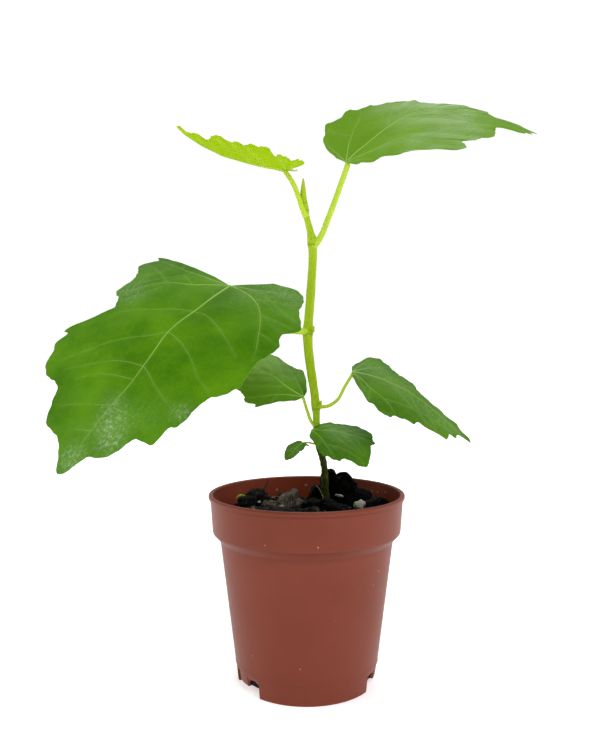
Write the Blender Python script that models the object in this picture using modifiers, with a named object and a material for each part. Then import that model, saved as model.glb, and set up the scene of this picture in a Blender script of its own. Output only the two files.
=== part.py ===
"""A young fig plant in a round plastic nursery pot, built at its real size.

One upright stem rises from bark compost in a tapered pot. Each leaf, with its stalk, is one piece
whose stalk stops just clear of the stem. The pot stands on z = 0 with its axis on the Z axis, and
the side of the plant shown in front faces -Y. Sizes below are in millimetres and angles in degrees.
"""

import math

import bmesh
import bpy
from mathutils import Matrix, Vector

MM = 0.001
GAP = 0.3

# Pot
RIM_RADIUS = 45.0
POT_HEIGHT = 86.5
LIP_HEIGHT = 2.2
BAND_TOP_RADIUS = 44.2
BAND_LOW_RADIUS = 43.1
BAND_LOW_Z = 69.0
WALL_TOP_RADIUS = 39.7
WALL_TOP_Z = 65.4
FOOT_LINE_Z = 9.2
FOOT_LINE_RADIUS = 32.8
FOOT_RADIUS = 31.7
FOOT_ROUNDING = 0.6
FOOT_WALL = 2.0
WALL = 1.3
FLOOR = 1.6
FLOOR_Z = 3.6
CENTRE_RADIUS = 14.0
TURNS = 60
NOTCH_HEIGHT = 7.0
NOTCH_ARCH = 2.5
NOTCH_WIDTH = 8.0
NOTCH_PAIR_WIDTH = 17.0
NOTCH_PAIR_HEIGHT = 3.2
NOTCH_PAIR_SPREAD = 27.3
NOTCH_PAIRS_AT = (-61.1, 77.5, 188.2)

# Compost
SOIL_EDGE_Z = 74.5
SOIL_CROWN = 2.5
SOIL_ROUGHNESS = 0.8
CHIP_COUNT = 26
CHIP_RING = (6.0, 35.0)

# Stem: height above the pot's foot, offsets in X and Y, radius
STEM_STATIONS = (
    (76.0, 9.2, 8.0, 1.90),
    (81.6, 9.0, 8.0, 1.76),
    (90.0, 8.5, 7.8, 1.66),
    (97.3, 8.2, 7.5, 1.50),
    (102.5, 7.0, 7.4, 1.52),
    (108.0, 5.3, 7.2, 1.52),
    (115.3, 4.7, 7.0, 1.56),
    (122.0, 4.5, 6.8, 1.70),
    (125.6, 4.3, 6.7, 2.15),
    (129.5, 3.9, 6.6, 1.95),
    (144.6, 1.7, 6.1, 2.10),
    (153.0, 0.7, 5.9, 2.05),
    (160.7, 0.5, 5.6, 2.40),
    (167.0, 1.0, 5.5, 2.10),
    (182.0, 2.1, 5.1, 1.98),
    (197.5, 2.8, 4.6, 1.88),
    (201.7, 2.6, 4.5, 2.30),
    (206.7, 1.6, 4.2, 1.60),
    (213.0, 0.0, 4.0, 1.46),
    (217.0, -0.8, 3.9, 1.70),
    (221.5, -1.5, 3.8, 1.55),
    (225.5, -1.6, 3.7, 1.15),
    (228.5, -1.6, 3.6, 0.70),
    (230.6, -1.6, 3.5, 0.30),
)

# Leaves. The blade is a fan about the point where the stalk meets it, drawn on the plane through that
# base and the tip. "left" and "right" give the edge's reach at each angle from the midrib, as seen from
# above with the tip ahead. "arch" lifts the midrib between its ends, "fold" raises each side as a slope,
# and "droop" lowers each side at half a length out. "stalk" runs from inside the stem to the base.
LEAVES = {
    "leaf_large": {
        "base": (-33.0, -21.0, 179.9),
        "tip": (-89.9, -76.0, 107.1),
        "roll": -21.5,
        "arch": 8.5,
        "fold": 0.0,
        "droop": 6.8,
        "left": (
            (3, 98.5), (7, 96), (11, 90.5), (14, 87), (18, 88), (21, 81), (26, 73.5), (32, 67.5),
            (38, 65), (43, 59.5), (49, 52.5), (57, 48), (64, 44.5), (68, 41.5), (75, 44.5),
            (81, 41.5), (91, 35), (106, 32.5), (118, 28.5), (128, 20),
        ),
        "right": (
            (5, 98), (8, 96), (12, 95), (16, 87), (20, 82.5), (27, 84), (34, 81.5), (40, 76.5),
            (42, 71), (45, 73), (47, 60), (51, 50), (58, 50.5), (66, 53.5), (78, 52), (87, 57),
            (93, 62.5), (98, 59), (101, 57), (104, 63), (107, 52), (110, 25),
        ),
        "stalk": ((0.5, 5.6, 160.6), (-6.5, 0.0, 160.6), (-16.0, -8.0, 164.0), (-27.0, -17.0, 172.5)),
        "stalk_radius": (1.35, 1.0),
    },
    "leaf_top_right": {
        "base": (18.0, 1.2, 237.5),
        "tip": (106.1, 5.0, 250.9),
        "roll": 38.0,
        "arch": 15.0,
        "fold": 0.0,
        "droop": 0.0,
        "left": (
            (2, 74), (6, 66.5), (9, 60), (12, 55.5), (19, 48), (27, 44), (34, 42), (46, 40), (56, 39),
            (66, 41), (74, 41), (80, 45), (84, 42), (91, 46), (97, 37), (102, 27), (106, 12),
        ),
        "right": (
            (3, 83), (7, 76), (9, 69), (13, 66), (18, 65), (23, 61), (28, 57), (30, 52.5), (36, 55.5),
            (39, 52), (41, 38), (43, 33), (47, 28), (50, 20), (57, 14), (66, 9),
        ),
        "stalk": ((2.6, 4.5, 199.5), (5.6, 4.2, 202.9), (10.2, 3.2, 213.2), (15.7, 1.9, 227.9)),
        "stalk_radius": (1.25, 1.15),
    },
    "leaf_top_left": {
        "base": (-9.3, 3.0, 234.3),
        "tip": (-57.6, -8.0, 251.2),
        "roll": 0.0,
        "arch": -3.4,
        "fold": 0.37,
        "droop": 0.0,
        "left": (
            (2, 47), (5, 42), (9, 36), (16, 34), (19, 28.5), (28, 23.5), (41, 19), (50, 14.5),
            (60, 11.5), (75, 9.5), (96, 9), (108, 10.5), (131, 9),
        ),
        "right": (
            (4, 46), (7, 42), (11, 37), (16, 33.5), (22, 28), (30, 24), (41, 20), (54, 16.5),
            (68, 14), (82, 12.5), (98, 12), (118, 11), (134, 8),
        ),
        "stalk": (
            (-0.3, 3.9, 213.5), (-1.6, 2.2, 216.8), (-2.9, 1.3, 220.7), (-5.8, 1.8, 228.2),
        ),
        "stalk_radius": (1.1, 1.0),
    },
    "leaf_mid_right": {
        "base": (20.6, -3.9, 142.2),
        "tip": (72.6, -14.8, 111.2),
        "roll": 26.0,
        "arch": 3.0,
        "fold": -0.02,
        "droop": 3.1,
        "left": (
            (3, 55), (5, 50), (8, 42), (12, 37), (19, 33), (28, 30), (38, 26), (46, 23), (58, 23),
            (68, 24), (76, 24.5), (81, 21), (87, 18), (94, 10), (110, 5),
        ),
        "right": (
            (4, 54), (8, 53), (10, 49), (13, 43.5), (16, 38.5), (19, 38), (24, 32.5), (28, 30),
            (33, 31), (38, 28), (43, 23), (47, 18), (52, 11), (62, 6),
        ),
        "stalk": ((4.3, 6.7, 125.4), (10.1, 2.8, 126.1), (14.2, 0.6, 129.1), (17.3, -1.7, 135.1)),
        "stalk_radius": (0.9, 0.72),
    },
    "leaf_back_left": {
        "base": (-1.3, 12.0, 129.6),
        "tip": (-38.2, 27.4, 147.5),
        "roll": -28.0,
        "arch": 3.0,
        "fold": 0.0,
        "droop": 3.0,
        "left": (
            (5, 41), (12, 37), (20, 34), (30, 32), (38, 28), (44, 29), (49, 27), (53, 24), (58, 24),
            (60, 17), (64, 12), (74, 6),
        ),
        "right": (
            (5, 41), (12, 38), (22, 36), (30, 34), (35, 31), (37, 23), (43, 22), (48, 20), (55, 21),
            (61, 16), (66, 9), (78, 4),
        ),
        "stalk": ((4.7, 7.0, 115.5), (2.4, 8.2, 117.8), (0.4, 10.0, 122.6)),
        "stalk_radius": (0.85, 0.68),
    },
    "leaf_low_right": {
        "base": (2.2, 2.5, 114.9),
        "tip": (30.9, -8.0, 109.7),
        "roll": 24.0,
        "arch": 2.0,
        "fold": 0.0,
        "droop": 2.3,
        "left": (
            (5, 29), (12, 27.5), (18, 25), (22, 22), (26, 19), (32, 15), (42, 12), (60, 10), (82, 7),
        ),
        "right": (
            (5, 30), (12, 32), (18, 33), (25, 35), (28, 32), (31, 29), (35, 26.5), (40, 27), (44, 26),
            (48, 22.5), (53, 21), (57, 16), (62, 11), (80, 5),
        ),
        "stalk": ((4.8, 7.0, 113.2), (3.6, 4.9, 113.6)),
        "stalk_radius": (0.85, 0.75),
    },
    "leaf_low_left": {
        "base": (-1.8, 3.0, 109.0),
        "tip": (-9.7, -3.0, 101.7),
        "roll": -20.0,
        "arch": 0.8,
        "fold": 0.0,
        "droop": 0.6,
        "left": ((8, 11.0), (18, 8.6), (32, 6.2), (52, 4.2), (80, 2.6), (110, 1.4)),
        "right": ((8, 11.0), (18, 8.6), (32, 6.2), (52, 4.2), (80, 2.6), (110, 1.4)),
        "stalk": ((5.4, 7.2, 107.6), (2.4, 5.5, 108.3), (0.2, 4.1, 108.9)),
        "stalk_radius": (0.45, 0.4),
    },
}
BLADE_THICKNESS = 0.0125
FAN_STEP = 6.0
FAN_RINGS = (0.28, 0.55, 0.8, 1.0)
MIDRIB_END = 0.8


def new_collection(name, hidden=False):
    made = bpy.data.collections.new(name)
    bpy.context.scene.collection.children.link(made)
    made.hide_render = hidden
    return made


def plastic_or_plant(name, colour, roughness):
    material = bpy.data.materials.new(name)
    material.use_nodes = True
    shader = material.node_tree.nodes["Principled BSDF"]
    shader.inputs["Base Color"].default_value = (*colour, 1.0)
    shader.inputs["Roughness"].default_value = roughness
    shader.inputs["Metallic"].default_value = 0.0
    material.diffuse_color = (*colour, 1.0)
    return material


def add_object(name, mesh, collection, material=None):
    made = bpy.data.objects.new(name, mesh)
    collection.objects.link(made)
    if material:
        mesh.materials.append(material)
    return made


def mesh_from(name, points, faces):
    """A mesh from points in millimetres."""
    mesh = bpy.data.meshes.new(name)
    mesh.from_pydata([Vector(p) * MM for p in points], [], faces)
    mesh.validate()
    return mesh


def shade_round(target, angle=40.0):
    target.data.shade_smooth()
    target.data.set_sharp_from_angle(angle=math.radians(angle))


def apply_modifiers(target):
    """Bakes an object's modifiers into its mesh."""
    graph = bpy.context.evaluated_depsgraph_get()
    done = bpy.data.meshes.new_from_object(target.evaluated_get(graph))
    target.modifiers.clear()
    old = target.data
    target.data = done
    bpy.data.meshes.remove(old)


def combine(target, collection, operation):
    """Joins or cuts a target by all the objects of a collection, which are then removed."""
    step = target.modifiers.new(operation.title(), "BOOLEAN")
    step.operand_type = "COLLECTION"
    step.collection = collection
    step.operation = operation
    step.solver = "EXACT"
    step.use_self = operation == "UNION"
    apply_modifiers(target)
    for item in list(collection.objects):
        data = item.data
        bpy.data.objects.remove(item)
        bpy.data.meshes.remove(data)


def turned(name, profile, collection, material, steps=TURNS):
    """A solid of revolution about Z. The profile of (radius, height) runs down its outer side."""
    mesh = bpy.data.meshes.new(name)
    points = [(r * MM, 0.0, z * MM) for r, z in profile]
    mesh.from_pydata(points, [(i, i + 1) for i in range(len(points) - 1)], [])
    made = add_object(name, mesh, collection, material)
    screw = made.modifiers.new("Turn", "SCREW")
    screw.axis = "Z"
    screw.steps = steps
    screw.render_steps = steps
    screw.use_merge_vertices = True
    screw.merge_threshold = 0.00001
    screw.use_normal_calculate = True
    apply_modifiers(made)
    shade_round(made)
    return made


def rounded_path(points, per_leg=4):
    """Points of a Catmull-Rom curve through the given ones."""
    ends = [2 * points[0] - points[1], *points, 2 * points[-1] - points[-2]]
    path = []
    for a, b, c, d in zip(ends, ends[1:], ends[2:], ends[3:]):
        for i in range(per_leg):
            t = i / per_leg
            path.append(
                0.5 * (2 * b + (c - a) * t + (2 * a - 5 * b + 4 * c - d) * t * t
                       + (3 * b - 3 * c + d - a) * t * t * t)
            )
    return [*path, points[-1]]


def tube(name, path, radii, collection, material=None, resolution=1):
    """A closed tapering limb along a path, from a bevelled curve with filled caps."""
    curve = bpy.data.curves.new(name, "CURVE")
    curve.dimensions = "3D"
    curve.bevel_depth = MM
    curve.bevel_resolution = resolution
    curve.use_fill_caps = True
    spline = curve.splines.new("POLY")
    spline.points.add(len(path) - 1)
    for knot, place, radius in zip(spline.points, path, radii):
        knot.co = (*(Vector(place) * MM), 1.0)
        knot.radius = radius
    limb = bpy.data.objects.new(name, curve)
    collection.objects.link(limb)
    mesh = bpy.data.meshes.new_from_object(limb.evaluated_get(bpy.context.evaluated_depsgraph_get()))
    bpy.data.objects.remove(limb)
    bpy.data.curves.remove(curve)
    shell = bmesh.new()
    shell.from_mesh(mesh)
    bmesh.ops.remove_doubles(shell, verts=shell.verts, dist=0.00001)
    bmesh.ops.recalc_face_normals(shell, faces=shell.faces)
    shell.to_mesh(mesh)
    shell.free()
    mesh.name = name
    return add_object(name, mesh, collection, material)


def wall_outside():
    """The pot's outer profile: lip, band, tapered wall, foot ring, raised floor and its lower middle."""
    lip_z = POT_HEIGHT - LIP_HEIGHT
    r = FOOT_ROUNDING
    return [
        (RIM_RADIUS - 0.5, POT_HEIGHT),
        (RIM_RADIUS, POT_HEIGHT - 0.5),
        (RIM_RADIUS, lip_z + 0.4),
        (BAND_TOP_RADIUS, lip_z),
        (BAND_LOW_RADIUS, BAND_LOW_Z + 0.5),
        (BAND_LOW_RADIUS - 0.6, BAND_LOW_Z - 0.4),
        (WALL_TOP_RADIUS, WALL_TOP_Z),
        (FOOT_LINE_RADIUS + 0.15, FOOT_LINE_Z + 0.15),
        (FOOT_LINE_RADIUS - 0.15, FOOT_LINE_Z - 0.15),
        (FOOT_RADIUS, r),
        (FOOT_RADIUS - 0.3 * r, 0.3 * r),
        (FOOT_RADIUS - r, 0.0),
        (FOOT_RADIUS - FOOT_WALL, 0.0),
        (FOOT_RADIUS - FOOT_WALL - 0.3, FLOOR_Z),
        (CENTRE_RADIUS + 0.3, FLOOR_Z),
        (CENTRE_RADIUS, 0.0),
        (0.0, 0.0),
    ]


def wall_inside(offset):
    """The pot's inner profile, moved in by an offset, from the rim down to the floor's middle."""
    slope = (WALL_TOP_RADIUS - FOOT_RADIUS) / WALL_TOP_Z
    floor = FLOOR_Z + FLOOR + offset
    inset = WALL + offset
    return [
        (BAND_TOP_RADIUS - inset + 0.3, POT_HEIGHT - 0.4),
        (BAND_TOP_RADIUS - inset, POT_HEIGHT - LIP_HEIGHT),
        (BAND_LOW_RADIUS - inset, BAND_LOW_Z + 1.2),
        (WALL_TOP_RADIUS - inset, WALL_TOP_Z + 1.2),
        (FOOT_RADIUS + slope * floor - inset, floor),
        (CENTRE_RADIUS - inset + 0.3, floor),
        (CENTRE_RADIUS - inset, floor - FLOOR_Z),
        (0.0, floor - FLOOR_Z),
    ]


def build_pot(collection, material):
    inner = wall_inside(0.0)
    profile = [*reversed(inner), (RIM_RADIUS - 1.3, POT_HEIGHT), *wall_outside()]
    pot = turned("pot", profile, collection, material)
    cutters = new_collection("pot_notch_cutters", hidden=True)
    for middle in NOTCH_PAIRS_AT:
        add_opening(middle, box_outline(NOTCH_PAIR_WIDTH / 2, NOTCH_PAIR_HEIGHT), cutters)
        for side in (-0.5, 0.5):
            add_opening(middle + side * NOTCH_PAIR_SPREAD, arch_outline(), cutters)
    combine(pot, cutters, "DIFFERENCE")
    bpy.data.collections.remove(cutters)
    shade_round(pot)
    return pot


def box_outline(half, height):
    return [(-half, -1.0), (half, -1.0), (half, height), (-half, height)]


def arch_outline():
    """A drain opening's outline in width and height, with an arched top."""
    half = NOTCH_WIDTH / 2
    spring = NOTCH_HEIGHT - NOTCH_ARCH
    outline = box_outline(half, spring)
    for i in range(1, 6):
        turn = math.pi * i / 6
        outline.insert(2 + i, (half * math.cos(turn), spring + NOTCH_ARCH * math.sin(turn)))
    return outline


def add_opening(angle, outline, collection):
    """A cutter of a given outline through the foot, at an angle from the front towards the right."""
    count = len(outline)
    points = [(x, -reach, z) for reach in (FOOT_RADIUS - 4.5, FOOT_RADIUS + 4.0) for x, z in outline]
    faces = [tuple(range(count)), tuple(range(2 * count - 1, count - 1, -1))]
    for i in range(count):
        j = (i + 1) % count
        faces.append((i, i + count, j + count, j))
    mesh = mesh_from("opening", points, faces)
    shell = bmesh.new()
    shell.from_mesh(mesh)
    bmesh.ops.recalc_face_normals(shell, faces=shell.faces)
    shell.to_mesh(mesh)
    shell.free()
    cutter = add_object("opening", mesh, collection)
    cutter.display_type = "WIRE"
    mesh.transform(Matrix.Rotation(math.radians(angle), 4, "Z"))


def soil_height(x, y):
    """The compost's top surface: a low crown with lumps."""
    far = math.hypot(x, y) / RIM_RADIUS
    lumps = math.sin(0.31 * x + 1.1) * math.cos(0.27 * y - 0.4) + 0.6 * math.sin(0.55 * x - 0.48 * y)
    return SOIL_EDGE_Z + SOIL_CROWN * (1 - far * far) + SOIL_ROUGHNESS * lumps


def build_soil(collection, material):
    sides = [p for p in wall_inside(GAP) if p[1] < SOIL_EDGE_Z - 2]
    top = sides[0][0] + (SOIL_EDGE_Z - sides[0][1]) * 0.074
    steps = 48
    points = [(0.0, 0.0, soil_height(0.0, 0.0))]
    rings = []

    def add_ring(radius, height=None):
        rings.append(len(points))
        for i in range(steps):
            turn = 2 * math.pi * i / steps
            x = radius * math.cos(turn)
            y = radius * math.sin(turn)
            points.append((x, y, soil_height(x, y) if height is None else height))

    for share in (0.15, 0.3, 0.45, 0.6, 0.75, 0.88, 1.0):
        add_ring(top * share)
    for radius, height in sides[:-1]:
        add_ring(radius, height)
    points.append((0.0, 0.0, sides[-1][1]))
    last = len(points) - 1
    faces = []
    for i in range(steps):
        j = (i + 1) % steps
        faces.append((0, rings[0] + i, rings[0] + j))
        for a, b in zip(rings, rings[1:]):
            faces.append((a + i, b + i, b + j, a + j))
        faces.append((rings[-1] + j, rings[-1] + i, last))
    soil = add_object("compost", mesh_from("compost", points, faces), collection, material)
    chips = new_collection("chips_to_join")
    for place in chip_places():
        add_chip(chips, *place)
    combine(soil, chips, "UNION")
    bpy.data.collections.remove(chips)
    clear_of_stem(soil)
    return soil


def chip_places():
    """Middle, size and turn of each bark chip: a ring of small ones, and the heap at the stem."""
    places = []
    for i in range(CHIP_COUNT):
        turn = 2.39996 * i
        share = (i + 0.5) / CHIP_COUNT
        radius = CHIP_RING[0] + (CHIP_RING[1] - CHIP_RING[0]) * math.sqrt(share)
        x = radius * math.cos(turn)
        y = radius * math.sin(turn)
        size = 3.2 + 1.6 * math.sin(5.1 * i)
        places.append(((x, y, soil_height(x, y) - 0.3), (size, 0.7 * size, 0.5 * size), 47.0 * i, 20.0))
    places.append(((12.0, 1.5, 77.0), (6.0, 4.5, 3.6), 20.0, 15.0))
    places.append(((3.0, 6.5, 77.5), (4.5, 4.0, 4.0), 70.0, 10.0))
    places.append(((15.5, 17.0, 83.0), (7.0, 4.0, 11.5), 12.0, -14.0))
    places.append(((23.5, 17.5, 79.0), (7.5, 4.6, 7.0), -20.0, 30.0))
    places.append(((-20.0, 12.0, 78.0), (6.0, 4.5, 3.4), 10.0, 10.0))
    return places


def add_chip(collection, middle, size, turn, lean):
    """A blocky bark chip: a sphere of few faces pulled out of round."""
    mesh = bpy.data.meshes.new("chip")
    shell = bmesh.new()
    bmesh.ops.create_icosphere(shell, subdivisions=1, radius=MM)
    for corner in shell.verts:
        n = corner.co.normalized()
        bump = 1 + 0.16 * math.sin(7 * n.x + turn) + 0.12 * math.sin(9 * n.y - 5 * n.z + turn)
        corner.co *= bump
    shell.to_mesh(mesh)
    shell.free()
    pose = Matrix.Rotation(math.radians(turn), 4, "Z") @ Matrix.Rotation(math.radians(lean), 4, "Y")
    mesh.transform(Matrix.Translation(Vector(middle) * MM) @ pose @ Matrix.Diagonal((*size, 1.0)))
    return add_object("chip", mesh, collection)


def stem_path(extra=0.0):
    """Points and radii of the stem, made larger all round by extra."""
    knots = [Vector((x, y, z)) for z, x, y, _ in STEM_STATIONS]
    knots[0].z -= extra
    radii = [r + extra for _, _, _, r in STEM_STATIONS]
    return knots, radii


def build_stem(collection, material):
    knots, radii = stem_path()
    stem = tube("stem", knots, radii, collection, material, resolution=2)
    shade_round(stem)
    return stem


def leaf_frame(leaf):
    """The base point, length and unit axes of a blade: along the midrib, to its left, and up."""
    base = Vector(leaf["base"])
    along = Vector(leaf["tip"]) - base
    length = along.length
    along.normalize()
    level = Vector((-along.y, along.x, 0.0)).normalized()
    lifted = along.cross(level)
    roll = math.radians(leaf["roll"])
    left = level * math.cos(roll) + lifted * math.sin(roll)
    return base, length, along, left, along.cross(left)


def blade_point(leaf, frame, u, v, below=0.0):
    """The place of a blade's point u along and v to the left, below its upper face."""
    base, length, along, left, up = frame
    share = u / length
    height = 4 * leaf["arch"] * share * (1 - share)
    height += leaf["fold"] * abs(v) - leaf["droop"] * (2 * v / length) ** 2
    return base + along * u + left * v + up * (height - below)


def fan_edge(leaf, length):
    """The blade's edge as (angle, reach) from the far right round the tip to the far left."""
    right = [(-a, r) for a, r in reversed(leaf["right"])]
    knots = [*right, (0.0, length), *leaf["left"]]
    edge = [knots[0]]
    for (a, r), (b, s) in zip(knots, knots[1:]):
        legs = max(1, math.ceil((b - a) / FAN_STEP))
        for i in range(1, legs + 1):
            edge.append((a + (b - a) * i / legs, r + (s - r) * i / legs))
    return edge


def build_leaf(name, leaf, collection, material):
    """One leaf: blade, midrib and stalk joined, its foot cut clear of the stem."""
    frame = leaf_frame(leaf)
    length = frame[1]
    edge = fan_edge(leaf, length)
    points = [blade_point(leaf, frame, 0.0, 0.0)]
    for angle, reach in edge:
        turn = math.radians(angle)
        for share in FAN_RINGS:
            out = reach * share
            points.append(blade_point(leaf, frame, out * math.cos(turn), out * math.sin(turn)))
    count = len(FAN_RINGS)
    faces = []
    for i in range(len(edge) - 1):
        a = 1 + i * count
        b = a + count
        faces.append((0, a, b))
        for k in range(count - 1):
            faces.append((a + k, a + k + 1, b + k + 1))
            faces.append((a + k, b + k + 1, b + k))
    blade = add_object(name, mesh_from(name, points, faces), collection, material)
    thick = BLADE_THICKNESS * max(length, max(r for _, r in edge))
    solid = blade.modifiers.new("Thickness", "SOLIDIFY")
    solid.thickness = thick * MM
    solid.offset = -1.0
    apply_modifiers(blade)
    join_stalk(name, leaf, frame, thick, blade)
    clear_of_stem(blade)
    shade_round(blade)
    return blade


def join_stalk(name, leaf, frame, thick, blade):
    length = frame[1]
    limbs = new_collection(name + "_limbs")
    first, last = leaf["stalk_radius"]
    knots = [Vector(p) for p in leaf["stalk"]]
    knots.append(blade_point(leaf, frame, 0.012 * length, 0.0, 0.5 * thick))
    path = rounded_path(knots)
    radii = [first + (last - first) * i / (len(path) - 1) for i in range(len(path))]
    tube("stalk", path, radii, limbs)
    steps = 8
    rib = []
    radii = []
    for i in range(steps + 1):
        share = i / steps
        radii.append(last * 0.95 + (0.3 * thick - last * 0.95) * share)
        rib.append(blade_point(leaf, frame, length * (0.004 + MIDRIB_END * share), 0.0, 0.8 * thick))
    tube("midrib", rib, radii, limbs)
    combine(blade, limbs, "UNION")
    bpy.data.collections.remove(limbs)


def clear_of_stem(target):
    """Cuts a solid back to stand clear of the stem."""
    cutters = new_collection("stem_clearance", hidden=True)
    knots, radii = stem_path(extra=GAP)
    tube("clearance", knots, radii, cutters, resolution=2)
    combine(target, cutters, "DIFFERENCE")
    bpy.data.collections.remove(cutters)


def main():
    for item in list(bpy.data.objects):
        bpy.data.objects.remove(item)
    plant = new_collection("potted_fig")
    build_pot(plant, plastic_or_plant("pot_plastic", (0.26, 0.075, 0.05), 0.42))
    build_soil(plant, plastic_or_plant("compost", (0.012, 0.011, 0.010), 0.9))
    build_stem(plant, plastic_or_plant("stem_bark", (0.30, 0.42, 0.02), 0.5))
    green = plastic_or_plant("leaf_green", (0.09, 0.25, 0.02), 0.45)
    pale = plastic_or_plant("leaf_young", (0.33, 0.52, 0.02), 0.45)
    for name, leaf in LEAVES.items():
        build_leaf(name, leaf, plant, pale if name == "leaf_top_left" else green)


main()
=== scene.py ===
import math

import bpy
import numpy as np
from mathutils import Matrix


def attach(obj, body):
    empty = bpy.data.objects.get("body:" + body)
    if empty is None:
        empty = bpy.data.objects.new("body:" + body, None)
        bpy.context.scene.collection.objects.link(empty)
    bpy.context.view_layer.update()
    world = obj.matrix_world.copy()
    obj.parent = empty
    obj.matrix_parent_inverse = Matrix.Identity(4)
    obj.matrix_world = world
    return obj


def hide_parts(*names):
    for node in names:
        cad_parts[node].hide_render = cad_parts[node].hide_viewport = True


# A young fig plant in a round plastic nursery pot. Every CAD node is replaced by a finer piece made on
# the same rule and the same sizes: lengths are in millimetres and angles in degrees until a mesh is
# written, the pot stands on z = 0 with its axis on Z, and the plant's front faces -Y.
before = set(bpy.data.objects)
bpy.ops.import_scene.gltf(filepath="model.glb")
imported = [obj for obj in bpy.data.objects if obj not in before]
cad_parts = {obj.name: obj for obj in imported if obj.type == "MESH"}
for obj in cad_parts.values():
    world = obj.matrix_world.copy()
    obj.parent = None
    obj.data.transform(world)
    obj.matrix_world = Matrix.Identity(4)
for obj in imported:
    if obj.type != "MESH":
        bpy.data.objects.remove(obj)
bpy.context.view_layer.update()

MM = 0.001

# ---- Sizes of the pot and the compost

RIM_RADIUS = 45.0
POT_HEIGHT = 86.5
LIP_HEIGHT = 2.2
BAND_TOP_RADIUS = 44.2
BAND_LOW_RADIUS = 43.1
BAND_LOW_Z = 69.0
WALL_TOP_RADIUS = 39.7
WALL_TOP_Z = 65.4
FOOT_LINE_Z = 9.2
FOOT_LINE_RADIUS = 32.8
FOOT_RADIUS = 31.7
FOOT_ROUNDING = 0.6
FOOT_WALL = 2.0
WALL = 1.3
FLOOR = 1.6
FLOOR_Z = 3.6
CENTRE_RADIUS = 14.0
NOTCH_HEIGHT = 7.0
NOTCH_ARCH = 2.5
NOTCH_WIDTH = 8.0
NOTCH_DEPTH = 4.5
NOTCH_PAIR_HEIGHT = 3.2
NOTCH_PAIR_SPREAD = 27.3
NOTCH_PAIRS_AT = (-61.1, 77.5, 188.2)
SOIL_EDGE_Z = 74.5
SOIL_CROWN = 2.5
SOIL_ROUGHNESS = 0.8
CHIP_COUNT = 1150
CHIP_REACH = 40.0
GOLDEN_ANGLE = 2.39996
FINE_FORM_POINTS = 300
SEED = 20

# Stem: height above the pot's foot, offsets in X and Y, radius
STEM_STATIONS = (
    (76.0, 9.2, 8.0, 1.90), (81.6, 9.0, 8.0, 1.76), (90.0, 8.5, 7.8, 1.66), (97.3, 8.2, 7.5, 1.50),
    (102.5, 7.0, 7.4, 1.52), (108.0, 5.3, 7.2, 1.52), (115.3, 4.7, 7.0, 1.56), (122.0, 4.5, 6.8, 1.70),
    (125.6, 4.3, 6.7, 2.15), (129.5, 3.9, 6.6, 1.95), (144.6, 1.7, 6.1, 2.10), (153.0, 0.7, 5.9, 2.05),
    (160.7, 0.5, 5.6, 2.40), (167.0, 1.0, 5.5, 2.10), (182.0, 2.1, 5.1, 1.98), (197.5, 2.8, 4.6, 1.88),
    (201.7, 2.6, 4.5, 2.30), (206.7, 1.6, 4.2, 1.60), (213.0, 0.0, 4.0, 1.46), (217.0, -0.8, 3.9, 1.70),
    (221.5, -1.5, 3.8, 1.55), (225.5, -1.6, 3.7, 1.15), (228.5, -1.6, 3.6, 0.70), (230.6, -1.6, 3.5, 0.30),
)

# Leaves. The blade is a fan about the point where the stalk meets it, on the plane through that base and
# the tip. "left" and "right" give the edge's reach at each angle from the midrib. "mains" are the veins
# that start at the base, midrib first, as places along and to the left of it, with the half-width of each
# at its start. "forks" are smaller veins: the main they leave, the share along it, and the side.
# "gloss_and_painted_sheen" gives the glossy patches: place, width and strength; there the coat is glossy
# and the green takes a painted sheen and painted speckled glints. "wet" is how strongly the
# painted glints show. "fresh" is how far the green turns to yellow-green at the base and at the tip: partly
# the leaf's own colour and partly painted light, as where light shines through a leaf lying in shade.
# "painted_shade" is how far the green is darkened and greyed as painted shade. "sag" lowers the
# blade between its middle and its tip. "quilt", "wave" and "teeth" are the depths of the relief between
# the veins, of the edge's waves and of its fine teeth. "columns" and "rows" are the blade's grid. What a
# leaf leaves out comes from LEAF_DEFAULTS.
LEAF_DEFAULTS = {
    "fold": 0.0, "sag": 0.0, "droop": 0.0, "branches": (), "gloss_and_painted_sheen": (), "fresh": (0.0, 0.0), "painted_shade": 0.0,
    "fork_angle": 50.0, "quilt": 0.2, "wave": 0.16, "teeth": 0.003,
}
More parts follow.
